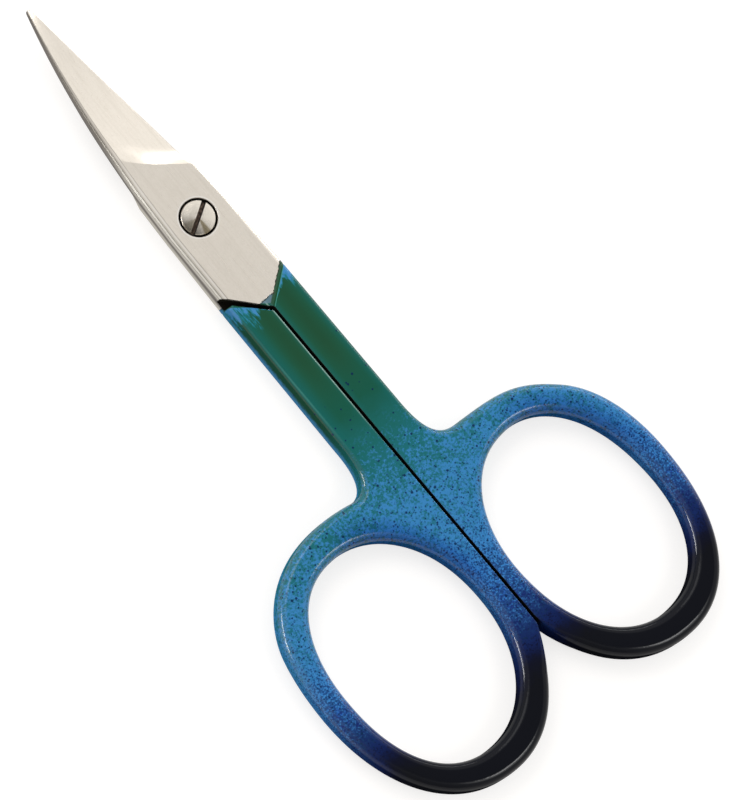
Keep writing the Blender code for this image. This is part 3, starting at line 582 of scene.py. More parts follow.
class Surface:
    """One side of a half: strips along each outline, then a fill between the last ones."""

    def __init__(self, mesh, outer):
        self.mesh = mesh
        self.outer = outer
        self.line = plunge_line()
        self.places = {}
        self.loops = []
        self.named = {}

    def height(self, u, y, share):
        if self.outer:
            return mix(outer_face(u, y, self.line), HALF_THICKNESS, share)
        return mix(MATING_FACE, -HALF_THICKNESS, share)

    def vertex(self, place, share, drop):
        height = self.height(place.x, place.y, share)
        height += -drop if self.outer else drop * share
        vert = self.mesh.verts.new((place.x, place.y, height))
        self.places[vert] = place
        return vert

    def face(self, corners):
        return self.mesh.faces.new(corners if self.outer else corners[::-1])

    def strip(self, points):
        """Adds the edge's strips along one outline and returns its outermost vertices."""
        rows = []
        count = len(points)
        for level in range(EDGE_LEVELS + 1):
            row = []
            for i, point in enumerate(points):
                here = Vector((point.u, point.y))
                before = Vector((points[i - 1].u, points[i - 1].y))
                after = Vector((points[(i + 1) % count].u, points[(i + 1) % count].y))
                profiles = [
                    edge.outer if self.outer else edge.inner
                    for edge in (point.before, point.after)
                ]
                place = inset_place(
                    before, here, after, profiles[0][level][0], profiles[1][level][0]
                )
                share = point.outer_share if self.outer else point.inner_share
                row.append(self.vertex(place, share, profiles[0][level][1]))
            rows.append(row)
        for level, (low, high) in enumerate(zip(rows, rows[1:])):
            for i in range(count):
                j = (i + 1) % count
                face = self.face([low[i], low[j], high[j], high[i]])
                if self.outer and points[i].name in SPINE_NAMES and points[j].name in SPINE_NAMES:
                    self.mark_bevel(face, level)
        for point, vert in zip(points, rows[-1]):
            if point.name:
                self.named.setdefault(point.name, []).append(vert)
        self.loops.append(rows[-1])
        return rows[0]

    def mark_bevel(self, face, level):
        """Notes how far across the spine's bevel each corner of a strip lies, from 1 to 2."""
        bevel = self.mesh.loops.layers.float["bevel"]
        for corner, step in zip(face.loops, (0, 0, 1, 1)):
            corner[bevel] = 1 + SPINE_PROFILE_SHARES[level + step][0]

    def inside(self, places):
        """Which places lie within the outline and outside its holes."""
        starts = np.array([vert.co.xy for loop in self.loops for vert in loop])
        ends = np.array([vert.co.xy for loop in self.loops for vert in loop[1:] + loop[:1]])
        at = np.array([(place.x, place.y) for place in places])
        crossings = np.zeros(len(at), int)
        for start, end in zip(starts, ends):
            if start[1] == end[1]:
                continue
            spans = (start[1] > at[:, 1]) != (end[1] > at[:, 1])
            share = (at[:, 1] - start[1]) / (end[1] - start[1])
            crossings += spans & (start[0] + (end[0] - start[0]) * share > at[:, 0])
        return crossings % 2 == 1

    def fill(self, lines, spots):
        """Fills between the loops, with the lines kept as edges and the spots as vertices."""
        verts = [vert for loop in self.loops for vert in loop]
        edges = []
        start = 0
        for loop in self.loops:
            count = len(loop)
            edges += [(start + i, start + (i + 1) % count) for i in range(count)]
            start += count
        border = len(edges)
        index = {vert: i for i, vert in enumerate(verts)}
        for line in lines:
            ends = []
            for end in line:
                vert = end if isinstance(end, bmesh.types.BMVert) else self.vertex(end, 0, 0)
                if vert not in index:
                    index[vert] = len(verts)
                    verts.append(vert)
                ends.append(index[vert])
            edges += list(zip(ends, ends[1:]))
        kept = self.inside(spots)
        verts += [self.vertex(spot, 0, 0) for spot, within in zip(spots, kept) if within]
        places = [self.places[vert] for vert in verts]
        found, _, faces, origins, _, _ = delaunay_2d_cdt(places, edges, [], 0, 0.0)
        made = []
        for place, origin in zip(found, origins):
            made.append(verts[origin[0]] if origin else self.vertex(place, 0, 0))
        middles = [sum((found[i] for i in face), Vector((0, 0))) / len(face) for face in faces]
        for corners, within in zip(faces, self.inside(middles)):
            if within:
                self.face([made[i] for i in corners])
        for a, b in edges[border:]:
            crease = self.mesh.edges.get((verts[a], verts[b]))
            if crease:
                crease.smooth = False


def blade_spots(line):
    """Vertices for the curved faces of the blade, in rows across it."""
    found = []
    for step in range(1, BLADE_STEPS):
        y = mix(HEEL_Y, TIP_Y, step / BLADE_STEPS)
        face_start = SPINE_FACET_WIDTH * blade_share(y) - spine_half(y)
        for share in FACE_SHARES:
            place = Vector((mix(face_start, edge_half(y), share), y))
            if beyond_plunge(place.x, place.y, line) > PLUNGE_RUN:
                found.append(place)
    for a, b in zip(line, line[1:]):
        along = (b - a).normalized()
        tipward = Vector((along.y, -along.x))
        for share in PLUNGE_FACE_SHARES:
            found.append((a + b) / 2 + tipward * PLUNGE_RUN * share)
    return found


def half_mesh(ring, bore_edge):
    """The closed mesh of a half in its own frame."""
    mesh = bmesh.new()
    mesh.loops.layers.float.new("bevel")
    sides = [Surface(mesh, True), Surface(mesh, False)]
    for points in (outline(ring), finger_hole(ring), pivot_bore(bore_edge)):
        upper, lower = [side.strip(points) for side in sides]
        count = len(points)
        for i in range(count):
            j = (i + 1) % count
            mesh.faces.new((lower[i], lower[j], upper[j], upper[i]))
    outer, inner = sides
    plunge = outer.named["plunge"] + outer.line[1:-1] + outer.named["spine plunge"]
    step_joint = [outer.named["shoulder foot"][1], outer.named["step joint"][0]]
    step_shank = [outer.named["shoulder edge"][1], outer.named["step shank"][0]]
    spots = blade_spots(outer.line)
    outer.fill([plunge, step_joint, step_shank], spots)
    shoulder = [inner.named[name] for name in ("shoulder foot", "shoulder edge", "shoulder top")]
    inner.fill(shoulder, spots)
    return mesh


def add_half(name, ring, bore_edge, rear, made_of):
    mesh = half_mesh(ring, bore_edge)
    turn = Matrix.Rotation(math.pi, 4, "Y") if rear else Matrix.Identity(4)
    for vert in mesh.verts:
        raised = lift(vert.co.x, vert.co.y)
        vert.co = turn @ vert.co
        vert.co.z += HALF_THICKNESS + raised
    bmesh.ops.recalc_face_normals(mesh, faces=mesh.faces)
    return add_piece(name, mesh, made_of)


def add_piece(name, mesh, made_of):
    """An object from a mesh in the pivot's frame, moved to the pivot and shaded smooth."""
    bmesh.ops.translate(mesh, vec=(PIVOT.x, PIVOT.y, 0), verts=mesh.verts)
    for face in mesh.faces:
        face.smooth = True
    for edge in mesh.edges:
        if edge.calc_face_angle(0.0) > SHARP_ANGLE:
            edge.smooth = False
    data = bpy.data.meshes.new(name)
    data.materials.append(made_of)
    mesh.to_mesh(data)
    mesh.free()
    return add_object(name, data)


def add_object(name, data):
    made = bpy.data.objects.new(name, data)
    bpy.context.scene.collection.objects.link(made)
    return made


def keep_flats_flat(piece):
    """Shades rounded edges so that they end in the large flat faces beside them."""
    normals = piece.modifiers.new("flat faces", "WEIGHTED_NORMAL")
    normals.mode = "FACE_AREA"
    normals.weight = FLAT_FACE_WEIGHT
    normals.keep_sharp = True


def seat_in(piece, node):
    """Shrinks a fine piece by the little that keeps it in the box of the node it replaces."""
    low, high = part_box(node)
    corners = np.array([vert.co for vert in piece.data.vertices])
    fine_low, fine_high = corners.min(0), corners.max(0)
    size = np.array(high - low)
    scale = np.minimum(1, size / (fine_high - fine_low))
    middle = np.array(low + high) / 2
    fine_middle = (fine_low + fine_high) / 2
    placed = (corners - fine_middle) * scale + middle
    piece.data.vertices.foreach_set("co", placed.astype(np.float32).ravel())
    piece.data.update()


def screw_profile():
    """Half of the screw's section, from the top of the head down, as (radius, z)."""
    face = HALF_THICKNESS + JOINT_FACE
    neck = face - SCREW_EDGE_BREAK - SCREW_HEAD_WALL
    shaft_top = neck - SCREW_CONE_HEIGHT
    tail = HALF_THICKNESS - JOINT_FACE
    dome = [
        (SCREW_HEAD_RADIUS * share, face + SCREW_HEAD_DOME * (1 - share * share))
        for share in DOME_SHARES
    ]
    return dome + [
        (SCREW_HEAD_RADIUS, face - SCREW_EDGE_BREAK),
        (SCREW_HEAD_RADIUS, neck),
        (SCREW_SHAFT_RADIUS, shaft_top),
        (SCREW_SHAFT_RADIUS, tail + SCREW_EDGE_BREAK),
        (SCREW_SHAFT_RADIUS - SCREW_EDGE_BREAK, tail),
        (0, tail),
    ]


def add_screw(made_of):
    """The pivot screw, turned from its section, with its slot cut by a Boolean."""
    mesh = bmesh.new()
    rings = []
    for radius, z in screw_profile():
        if radius == 0:
            rings.append([mesh.verts.new((0, 0, z))])
            continue
        row = []
        for step in range(SCREW_STEPS):
            angle = 2 * math.pi * step / SCREW_STEPS
            row.append(mesh.verts.new((radius * math.cos(angle), radius * math.sin(angle), z)))
        rings.append(row)
    for upper, lower in zip(rings, rings[1:]):
        for i in range(SCREW_STEPS):
            j = (i + 1) % SCREW_STEPS
            corners = [upper[i % len(upper)], lower[i % len(lower)]]
            corners += [lower[j % len(lower)], upper[j % len(upper)]]
            mesh.faces.new(list(dict.fromkeys(corners)))
    bmesh.ops.recalc_face_normals(mesh, faces=mesh.faces)
    screw = add_piece("slotted_screw", mesh, made_of)
    cutter = slot_cutter(made_of)
    cut = screw.modifiers.new("slot", "BOOLEAN")
    cut.operation = "DIFFERENCE"
    cut.solver = "EXACT"
    cut.object = cutter
    worn = screw.modifiers.new("worn edges", "BEVEL")
    worn.width = SLOT_EDGE_BREAK
    worn.segments = 2
    worn.limit_method = "ANGLE"
    worn.angle_limit = SHARP_ANGLE
    settle(screw)
    bpy.data.objects.remove(cutter, do_unlink=True)
    return screw


def slot_cutter(made_of):
    face = HALF_THICKNESS + JOINT_FACE
    mesh = bmesh.new()
    bmesh.ops.create_cube(mesh, size=1)
    length = 2 * (SCREW_HEAD_RADIUS + CUT_OVERRUN)
    height = SLOT_DEPTH + CUT_OVERRUN
    bmesh.ops.scale(mesh, vec=(length, SLOT_WIDTH, height), verts=mesh.verts)
    bmesh.ops.translate(mesh, vec=(0, 0, face - SLOT_DEPTH + height / 2), verts=mesh.verts)
    bmesh.ops.rotate(mesh, matrix=Matrix.Rotation(SLOT_ANGLE, 3, "Z"), verts=mesh.verts)
    return add_piece("slot_cutter", mesh, made_of)


def settle(piece):
    """Turns a piece's modifiers into its mesh."""
    graph = bpy.context.evaluated_depsgraph_get()
    final = bpy.data.meshes.new_from_object(piece.evaluated_get(graph))
    piece.modifiers.clear()
    piece.data = final


def front_bore_edge():
    """Bore with the recess that the screw's head sits in, its rim a little chamfered."""
    wall = RECESS_RADIUS - BORE_RADIUS
    seat = SCREW_EDGE_BREAK + SCREW_HEAD_WALL
    corners = [
        (0, seat + SCREW_CONE_HEIGHT),
        (wall, seat),
        (wall + RECESS_DRAFT, seat / 2),
        (wall + 2 * RECESS_DRAFT, SCREW_EDGE_BREAK),
        (wall + SCREW_EDGE_BREAK, 0),
    ]
    outer = []
    per_side = EDGE_LEVELS // (len(corners) - 1)
    for a, b in zip(corners, corners[1:]):
        for step in range(per_side):
            share = step / per_side
            outer.append((mix(a[0], b[0], share), mix(a[1], b[1], share)))
    outer.append(corners[-1])
    return Edge(outer, level_rim(EDGE_BREAK))


# Materials: places and widths in millimetres from the pivot, strengths as shares

MM = 1000


def linear(red, green, blue):
    """A colour given in the usual 0 to 255, as the shader's linear values."""
    found = []
    for level in (red, green, blue):
        share = level / 255
        found.append(share / 12.92 if share <= 0.04045 else ((share + 0.055) / 1.055) ** 2.4)
    return (*found, 1.0)


class Nodes:
    """Short ways to build a node tree."""

    def __init__(self, tree):
        self.tree = tree

    def node(self, kind, *values, **settings):
        """A new node with its settings, and with values or links in its first inputs."""
        made = self.tree.nodes.new(kind)
        for key, value in settings.items():
            setattr(made, key, value)
        for socket, value in zip(made.inputs, values):
            self.put(socket, value)
        return made

    def put(self, socket, value):
        if isinstance(value, bpy.types.NodeSocket):
            self.tree.links.new(value, socket)
        else:
            socket.default_value = value

    def math(self, operation, a, b=0.0, clamp=False):
        return self.node("ShaderNodeMath", a, b, operation=operation, use_clamp=clamp).outputs[0]

    def chain(self, operation, values):
        total = values[0]
        for value in values[1:]:
            total = self.math(operation, total, value)
        return total

    def add(self, *values):
        return self.chain("ADD", values)

    def times(self, *values):
        return self.chain("MULTIPLY", values)

    def larger(self, *values):
        return self.chain("MAXIMUM", values)

    def less(self, a, b):
        return self.math("SUBTRACT", a, b)

    def divide(self, a, b):
        return self.math("DIVIDE", a, b)

    def absolute(self, a):
        return self.math("ABSOLUTE", a)

    def rest(self, a):
        return self.math("SUBTRACT", 1.0, a, clamp=True)

    def length(self, a, b):
        return self.math("SQRT", self.add(self.times(a, a), self.times(b, b)))

    def grow(self, value, low, high, start=0.0, end=1.0):
        """Goes smoothly from start to end while the value goes from low to high."""
        values = (value, low, high, start, end)
        return self.node("ShaderNodeMapRange", *values, interpolation_type="SMOOTHSTEP").outputs[0]

    def around(self, value, middle, reach):
        """Goes smoothly from 1 at the middle to 0 at the reach on both sides."""
        return self.grow(self.absolute(self.less(value, middle)), 0.0, reach, 1.0, 0.0)

    def within(self, value, start, full, last, end):
        """Goes smoothly from 0 at the start to 1, and from the last place back to 0 at the end."""
        return self.times(self.grow(value, start, full), self.grow(value, end, last))

    def over(self, value, edge, softness):
        """1 where the value is over the edge and 0 under it, with a smooth step between."""
        return self.grow(value, self.less(edge, softness), self.add(edge, softness))

    def blend(self, share, a, b):
        # The Mix node's sockets for colours come after those for numbers and vectors
        made = self.node("ShaderNodeMix", data_type="RGBA")
        self.put(made.inputs["Factor"], share)
        self.put(made.inputs[6], a)
        self.put(made.inputs[7], b)
        return made.outputs[2]

    def lay(self, colour, top, *shares):
        """Lays a colour over another, as strongly as the product of the shares."""
        return self.blend(self.times(*shares), colour, top)

    def ramp(self, value, stops):
        """A colour that follows a value through (place, colour) stops."""
        low, high = stops[0][0], stops[-1][0]
        share = self.math("DIVIDE", self.less(value, low), high - low, clamp=True)
        made = self.node("ShaderNodeValToRGB", share)
        elements = made.color_ramp.elements
        while len(elements) < len(stops):
            elements.new(0.5)
        for element, (place, colour) in zip(elements, stops):
            element.position = (place - low) / (high - low)
            element.color = colour
        return made.outputs[0]

    def vector(self, operation, a, b):
        made = self.node("ShaderNodeVectorMath", a, b, operation=operation)
        return made.outputs["Value" if operation == "DOT_PRODUCT" else "Vector"]

    def parts(self, vector):
        return self.node("ShaderNodeSeparateXYZ", vector).outputs

    def places(self):
        """Object places in millimetres from the pivot."""
        here = self.node("ShaderNodeTexCoord").outputs["Object"]
        moved = self.vector("SUBTRACT", here, (PIVOT.x, PIVOT.y, 0))
        return self.vector("MULTIPLY", moved, (MM, MM, MM))

    def facing(self, direction):
        """1 where the surface faces a direction, 0 where it stands edge on to it."""
        normal = self.node("ShaderNodeTexCoord").outputs["Normal"]
        return self.vector("DOT_PRODUCT", normal, direction)

    def noise(self, vector, scale, detail=2.0, roughness=0.5, distortion=0.0):
        """Noise between 0 and 1, with one scale or with one for each axis."""
        if isinstance(scale, tuple):
            vector = self.vector("MULTIPLY", vector, scale)
            scale = 1.0
        made = self.node("ShaderNodeTexNoise", vector)
        made.inputs["Scale"].default_value = scale
        made.inputs["Detail"].default_value = detail
        made.inputs["Roughness"].default_value = roughness
        made.inputs["Distortion"].default_value = distortion
        return made.outputs["Fac"]

    def wander(self, vector, scale, reach, detail=2.0):
        """Noise that goes up and down round zero."""
        return self.times(self.less(self.noise(vector, scale, detail, 0.6), 0.5), reach)

    def dots(self, vector, present, scale, least, most):
        """Round spots in a share of a grid's cells, with radii from least to most."""
        made = self.node("ShaderNodeTexVoronoi", vector)
        made.inputs["Scale"].default_value = scale
        lots = self.node("ShaderNodeSeparateColor", made.outputs["Color"])
        radius = self.times(
            self.grow(lots.outputs[1], 0, 1, least * scale, most * scale),
            self.math("LESS_THAN", lots.outputs[0], present),
        )
        softness = SPOT_SOFTNESS * scale
        return self.grow(self.less(radius, made.outputs["Distance"]), -softness, softness)

    def bump(self, height, distance):
        made = self.node("ShaderNodeBump")
        self.put(made.inputs["Height"], height)
        made.inputs["Distance"].default_value = distance
        return made.outputs["Normal"]


def new_material(name):
    material = bpy.data.materials.new(name)
    material.use_nodes = True
    return material, Nodes(material.node_tree)


def dress(material, nodes, **values):
    """Sets or drives sockets of the material's surface."""
    surface = material.node_tree.nodes["Principled BSDF"]
    for name, value in values.items():
        nodes.put(surface.inputs[name.replace("_", " ")], value)


# Paint colours along the handles
PAINT_STOPS = (
    (-56.5, linear(21, 22, 27)),
    (-54.5, linear(20, 22, 38)),
    (-53, linear(18, 22, 50)),
    (-51.5, linear(20, 27, 66)),
    (-50, linear(27, 35, 98)),
    (-48, linear(38, 74, 156)),
    (-46, linear(50, 110, 180)),
    (-42, linear(53, 118, 186)),
    (-36, linear(43, 112, 160)),
    (-31.5, linear(34, 106, 120)),
    (-28, linear(31, 99, 97)),
    (-24, linear(28, 85, 69)),
    (-18, linear(33, 86, 66)),
)
OLIVE = linear(35, 76, 53)
TEAL = linear(28, 98, 95)
GREEN_CLUMP = linear(32, 101, 100)
BLUE_GRAIN = linear(62, 131, 192)
NAVY_GRAIN = linear(25, 42, 94)
DARK_SPECK = linear(18, 40, 76)
SHADE_SHARES = (0.42, 0.5, 0.76)
SPLIT_HIGHLIGHT = linear(136, 168, 158)
WALL_GREEN = linear(34, 78, 60)
EDGE_HIGHLIGHT = linear(62, 134, 124)
DUST = linear(150, 170, 180)
WALL_MIST = linear(76, 142, 194)
WORN_PAINT = linear(70, 134, 188)
WORN_FRINGE = linear(40, 122, 138)
RAMP_GREEN = linear(30, 72, 46)
RAMP_HIGHLIGHT = linear(70, 140, 118)
FLAT_END = linear(106, 132, 146)
BURNT_EDGE = linear(52, 44, 36)
STEEL = (0.84, 0.775, 0.685, 1)
STEEL_DULL = (0.70, 0.64, 0.55, 1)
STEEL_HIGHLIGHT = (1, 0.98, 0.93, 1)
STEEL_SIDE_SHADE = (0.42, 0.40, 0.35, 1)
STEEL_FACET_SHADE = (0.72, 0.69, 0.62, 1)
# Near-black for painted shade on the steel and for the dark lines across the spine's bevel
STEEL_SHADE_AND_LINES = (0.10, 0.085, 0.07, 1)
# Near-black: painted shade in the joint's gaps and round the screw's rim, and dirt in the slot
SHADE_AND_GRIME = (0.012, 0.010, 0.008, 1)
SCREW_STEEL = (0.80, 0.75, 0.67, 1)
SCREW_MARK = (0.68, 0.62, 0.53, 1)
SCREW_WEDGE_SHADE = (0.30, 0.25, 0.16, 1)
SLOT_DIRT = (0.05, 0.032, 0.022, 1)
SLOT_CRUMBS = (0.24, 0.165, 0.12, 1)

# Across the spine's bevel: place and reach as shares of its width, then depth or brightness
SPINE_LINES = (
    (0.1, 0.04, 0.4),
    (0.24, 0.03, 0.25),
    (0.37, 0.06, 0.6),
    (0.52, 0.05, 0.4),
    (0.93, 0.07, 0.55),
)
# A painted highlight on one facet of the bevel: place, reach and brightness
FACET_HIGHLIGHT = (0.73, 0.16, 0.5)

# Painted dark wedges of reflection on the screw's head: middle and reach in degrees, and depth
REFLECTION_WEDGES = ((190, 40, 0.6), (262, 19, 0.95))
TURNING_MARKS = 14
SPOT_SOFTNESS = 0.03
# Azimuth and elevation, in degrees, that the bands with painted highlights face: halfway between
# the camera and the left strip lamp, and the near window lamp
HIGHLIGHT_WAYS = ((154, 40), (263, 72))

# Where the paint ends on each half
PAINT_END = -10.45
PAINT_SLOPE = 0.755
STEEL_FOOT = -11.16
RAMP_FOOT = -11.69
SHOULDER_MIDDLE = -11.72

# Lines along the shanks: the middle of each and its reach to both sides
LEFT_MIDDLE = (-1.35, 1.7)
RIGHT_MIDDLE = (1.7, 1.7)
NEAR_SPLIT = (-0.05, 0.8)
SPLIT_LINE = (-0.34, 0.14)
OUTER_LINE = (-3.6, 0.16)
OUTER_LINE_LENGTH = (-20, 9.5)
RIGHT_WEAR_LINE = (1.9, 1.2)

# Where a tint begins and where it is full: sides go across the shanks, runs along the scissors
LEFT_SIDE = (-2.1, -3.9)
RIGHT_SIDE = (2.6, 3.8)
SLANT_RUN = (-38, -49)
OLIVE_RUN = (-24, -17)
TEAL_RUN = (-33, -26)
WALL_GREEN_RUN = (-29, -23)
SPLIT_LINE_RUN = (-29, -22)
BLUE_TOP_RUN = (-25.5, -31)
BLUE_END_RUN = (-53, -48)
SPECK_END_RUN = (-54, -51)
MIST_END_RUN = (-51, -46)
MIST_HEIGHTS = (2.0, 0.8)
SHADE_FROM_HOLE = (2.7, 0.6)
WEAR_RUN = (-14, -12.4)
FLAT_END_RUN = (-11.45, -11.0)
FLAT_END_SIDE = (-1.2, -0.9)
RAMP_LINE_SIDE = (3.6, 3.2)
BLADE_DARK_RUN = (5, 13)
GLEAM_RUN = (12, 5)
GAP_SHADE_RUN = (-6.6, -7.4)
LAP_SHADE_RUN = (-7.5, -7.65)
LAP_SHADE_SIDE = (0.25, 0.1)

# Bands along the scissors: where a tint begins, is full, begins to fade, and ends
CLUMP_BAND = (-29, -33, -38, -46)
NAVY_BAND = (-28, -34, -52, -55)
SHADE_BAND = (-31, -34, -42, -49)

# What changes between two places: both places, and then its value at each
BLUE_EDGE = (-26.5, -38, 0.66, 0.44)
NAVY_EDGE = (-34, -50.5, 0.7, 0.42)
LARGE_SPECK_SHARE = (-16, -34, 0.01, 0.38)
SMALL_SPECK_SHARE = (-24, -42, 0.0, 0.85)
MIST_LEVEL = (-33, -28, 0.5, 1.0)
LEFT_WEAR_ROOM = (-0.7, -2.6, 0.35, 2.3)
RIGHT_WEAR_ROOM = (2.5, 3.3, 0.01, 2.4)
PAINT_GLOSS = (-54, -48, 0.4, 1.0)
BLACK_END_ROUGHNESS = (-51, -55, 0.0, 0.03)

# Noise drawn out along the scissors: its features in a millimetre along x, y and z
STREAKS_SCALE = (6.0, 1.3, 1.0)
DRIPS_SCALE = (3.2, 0.5, 1.0)
BRUSHED_SCALE = (20, 0.3, 20)
BROAD_SCALE = (3.2, 0.14, 3.2)
STEEL_GRAIN_SCALE = (7, 4, 7)

# Spots: grid cells in a millimetre, then the least and the largest radius
LARGE_SPECKS = (1.8, 0.07, 0.15)
SMALL_SPECKS = (3.4, 0.055, 0.11)
DUST_SPOTS = (0.62, 0.03, 0.07)
DUST_SHARE = 0.035

# Azimuth and elevation, in degrees, that the shaded rounding of each finger hole faces
SHADED_WAY = (227, 35)
# The direction of the shaded corner of each finger hole, in shares of its half sizes
SHADED_CORNER = (0.8, 0.6)
# A painted highlight ring round the screw's recess, and the dull stretch of the joint
RECESS_HIGHLIGHT = (2.12, 0.1)
DULL_STRETCH = (3.4, 3.4)
# Depths under the joint's face where dirt begins in the slot, and where it is full
SLOT_DIRT_DEPTHS = (0.08, 0.2)

PAINT_ROUGHNESS = 0.1
STEEL_ROUGHNESS = 0.24
SHADE_AND_GRIME_ROUGHNESS = 0.7
SCREW_ROUGHNESS = 0.12
FORGED_RELIEF = 0.00002
SCREW_RELIEF = 0.00001


def shank_colour(n, p, x, y, up):
    """The plain paint: dark green that runs through blue into black, with painted highlight lines
    along the left shank's outer edge and beside the split.
    """
    # The dark end starts further down towards the right of each ring
    lean = n.add(n.times(x, 0.1), n.grow(x, 0.3, -0.5, 0.0, 1.1))
    slant = n.times(lean, n.grow(y, *SLANT_RUN))
    # The paint's colours reach further down on the rounded sides
    sides = n.grow(up, 0.93, 0.35, 0.0, 1.4)
    along = n.add(y, slant, sides, n.wander(p, 0.4, 3.0, 3))
    colour = n.ramp(along, PAINT_STOPS)
    middles = n.larger(n.around(x, *LEFT_MIDDLE), n.around(x, *RIGHT_MIDDLE))
    colour = n.lay(colour, OLIVE, middles, n.grow(y, *OLIVE_RUN), n.grow(up, 0.9, 0.99), 0.9)
    beside = n.times(n.larger(n.grow(x, *LEFT_SIDE), n.grow(x, *RIGHT_SIDE)), 0.8)
    near_split = n.times(n.around(x, *NEAR_SPLIT), 0.55)
    colour = n.lay(colour, TEAL, n.larger(beside, near_split), n.grow(y, *TEAL_RUN))
    # A lighter teal line along the outer edge of the left shank: a painted highlight near its
    # rounding
    outer_highlight = n.times(n.around(x, *OUTER_LINE), n.around(y, *OUTER_LINE_LENGTH))
    colour = n.lay(colour, EDGE_HIGHLIGHT, outer_highlight, n.grow(up, 0.6, 0.9), 0.55)
    colour = n.lay(colour, WALL_GREEN, n.grow(up, 0.8, 0.5), n.grow(y, *WALL_GREEN_RUN))
    # A light line on the edge beside the split: a painted highlight
    split_highlight = n.times(n.around(x, *SPLIT_LINE), n.grow(y, *SPLIT_LINE_RUN))
    return n.lay(colour, SPLIT_HIGHLIGHT, split_highlight, n.grow(up, 0.2, 0.6), 0.9), along


def add_grain(n, p, y, along, colour):
    """Green clumps in the blue, light blue mist, then navy grain towards the dark end."""
    clumps = n.wander(p, 1.0, 0.55, 3)
    grain = n.noise(p, 3.8, 2, 0.6)
    blue = n.over(grain, n.add(n.grow(along, *BLUE_EDGE), clumps), 0.14)
    blue = n.times(blue, n.grow(along, *BLUE_END_RUN), n.grow(y, *BLUE_TOP_RUN))
    colour = n.lay(colour, GREEN_CLUMP, n.within(along, *CLUMP_BAND), 0.75)
    colour = n.lay(colour, BLUE_GRAIN, blue, 0.8)
    fine = n.noise(p, 4.8, 2, 0.6)
    navy = n.over(fine, n.grow(along, *NAVY_EDGE), 0.08)
    colour = n.lay(colour, NAVY_GRAIN, navy, n.within(along, *NAVY_BAND), 0.75)
    large = n.dots(p, n.grow(y, *LARGE_SPECK_SHARE), *LARGE_SPECKS)
    small = n.dots(p, n.grow(y, *SMALL_SPECK_SHARE), *SMALL_SPECKS)
    faint = n.grow(n.noise(p, 1.1, 2), 0.35, 0.6, 0.35, 1.0)
    specks = n.times(n.larger(large, n.times(small, faint)), n.grow(along, *SPECK_END_RUN))
    colour = n.lay(colour, DARK_SPECK, specks, 0.9)
    colour = n.lay(colour, DUST, n.dots(p, DUST_SHARE, *DUST_SPOTS), 0.75)
    return colour, n.add(n.times(specks, 0.5), n.times(blue, 0.15), n.times(grain, 0.2))


def add_wall_mist(n, p, y, z, up, colour):
    """The light blue mist that lies low on the upright walls."""
    low = n.grow(n.add(z, n.wander(p, 2.4, 1.1, 3)), *MIST_HEIGHTS)
    along = n.times(n.grow(y, *MIST_END_RUN), n.grow(y, *MIST_LEVEL))
    return n.lay(colour, WALL_MIST, low, n.grow(up, 0.6, 0.2), along, 0.8)


def add_painted_shade(n, p, x, y, ring, ring_side, colour):
    """Painted shade on the rounding of each finger hole that faces away from the light, and a
    darker stretch beside its upper right.
    """
    rounding = n.times(n.grow(n.facing(towards(*SHADED_WAY)), 0.8, 0.95), 0.95)
    hole = ring.hole
    across = n.divide(n.less(x, MM * hole.centre[0] * ring_side), MM * hole.half[0])
    along = n.divide(n.less(y, MM * hole.centre[1]), MM * hole.half[1])
    radius = n.length(across, along)
    right, top = SHADED_CORNER
    corner = n.divide(n.add(n.times(across, right), n.times(along, top)), radius)
    from_hole = n.times(n.less(radius, 1), MM * sum(hole.half) / 2)
    reach = n.grow(n.add(from_hole, n.wander(p, 3.5, 2.2, 3)), *SHADE_FROM_HOLE)
    beside = n.times(reach, n.grow(corner, 0.45, 0.85), 0.85)
    shade = n.times(n.larger(rounding, beside), n.within(y, *SHADE_BAND))
    return n.blend(shade, colour, n.vector("MULTIPLY", colour, SHADE_SHARES))


def add_wear(n, p, x, y, ring_side, colour):
    """Paint rubbed light blue below the shoulders, in streaks down the shanks."""
    below = n.less(n.add(SHOULDER_MIDDLE, n.times(n.absolute(x), PAINT_SLOPE)), y)
    streaks = n.noise(p, STREAKS_SCALE, 3, 0.65, 0.3)
    drips = n.wander(p, DRIPS_SCALE, 3.2, 4)
    drips = n.add(drips, n.times(n.less(streaks, 0.5), 1.6))
    if ring_side < 0:
        room = n.grow(x, *LEFT_WEAR_ROOM)
    else:
        middle = n.times(n.around(x, *RIGHT_WEAR_LINE), 0.4)
        room = n.add(n.grow(x, *RIGHT_WEAR_ROOM), middle)
    left = n.add(n.less(drips, n.divide(below, room)), 0.62)
    kept = n.times(n.grow(y, *WEAR_RUN), n.grow(below, -0.1, 0.02))
    colour = n.lay(colour, WORN_FRINGE, n.grow(left, -0.35, 0.15), kept, 0.8)
    return n.lay(colour, WORN_PAINT, n.grow(left, 0.12, 0.42), kept, 0.85)


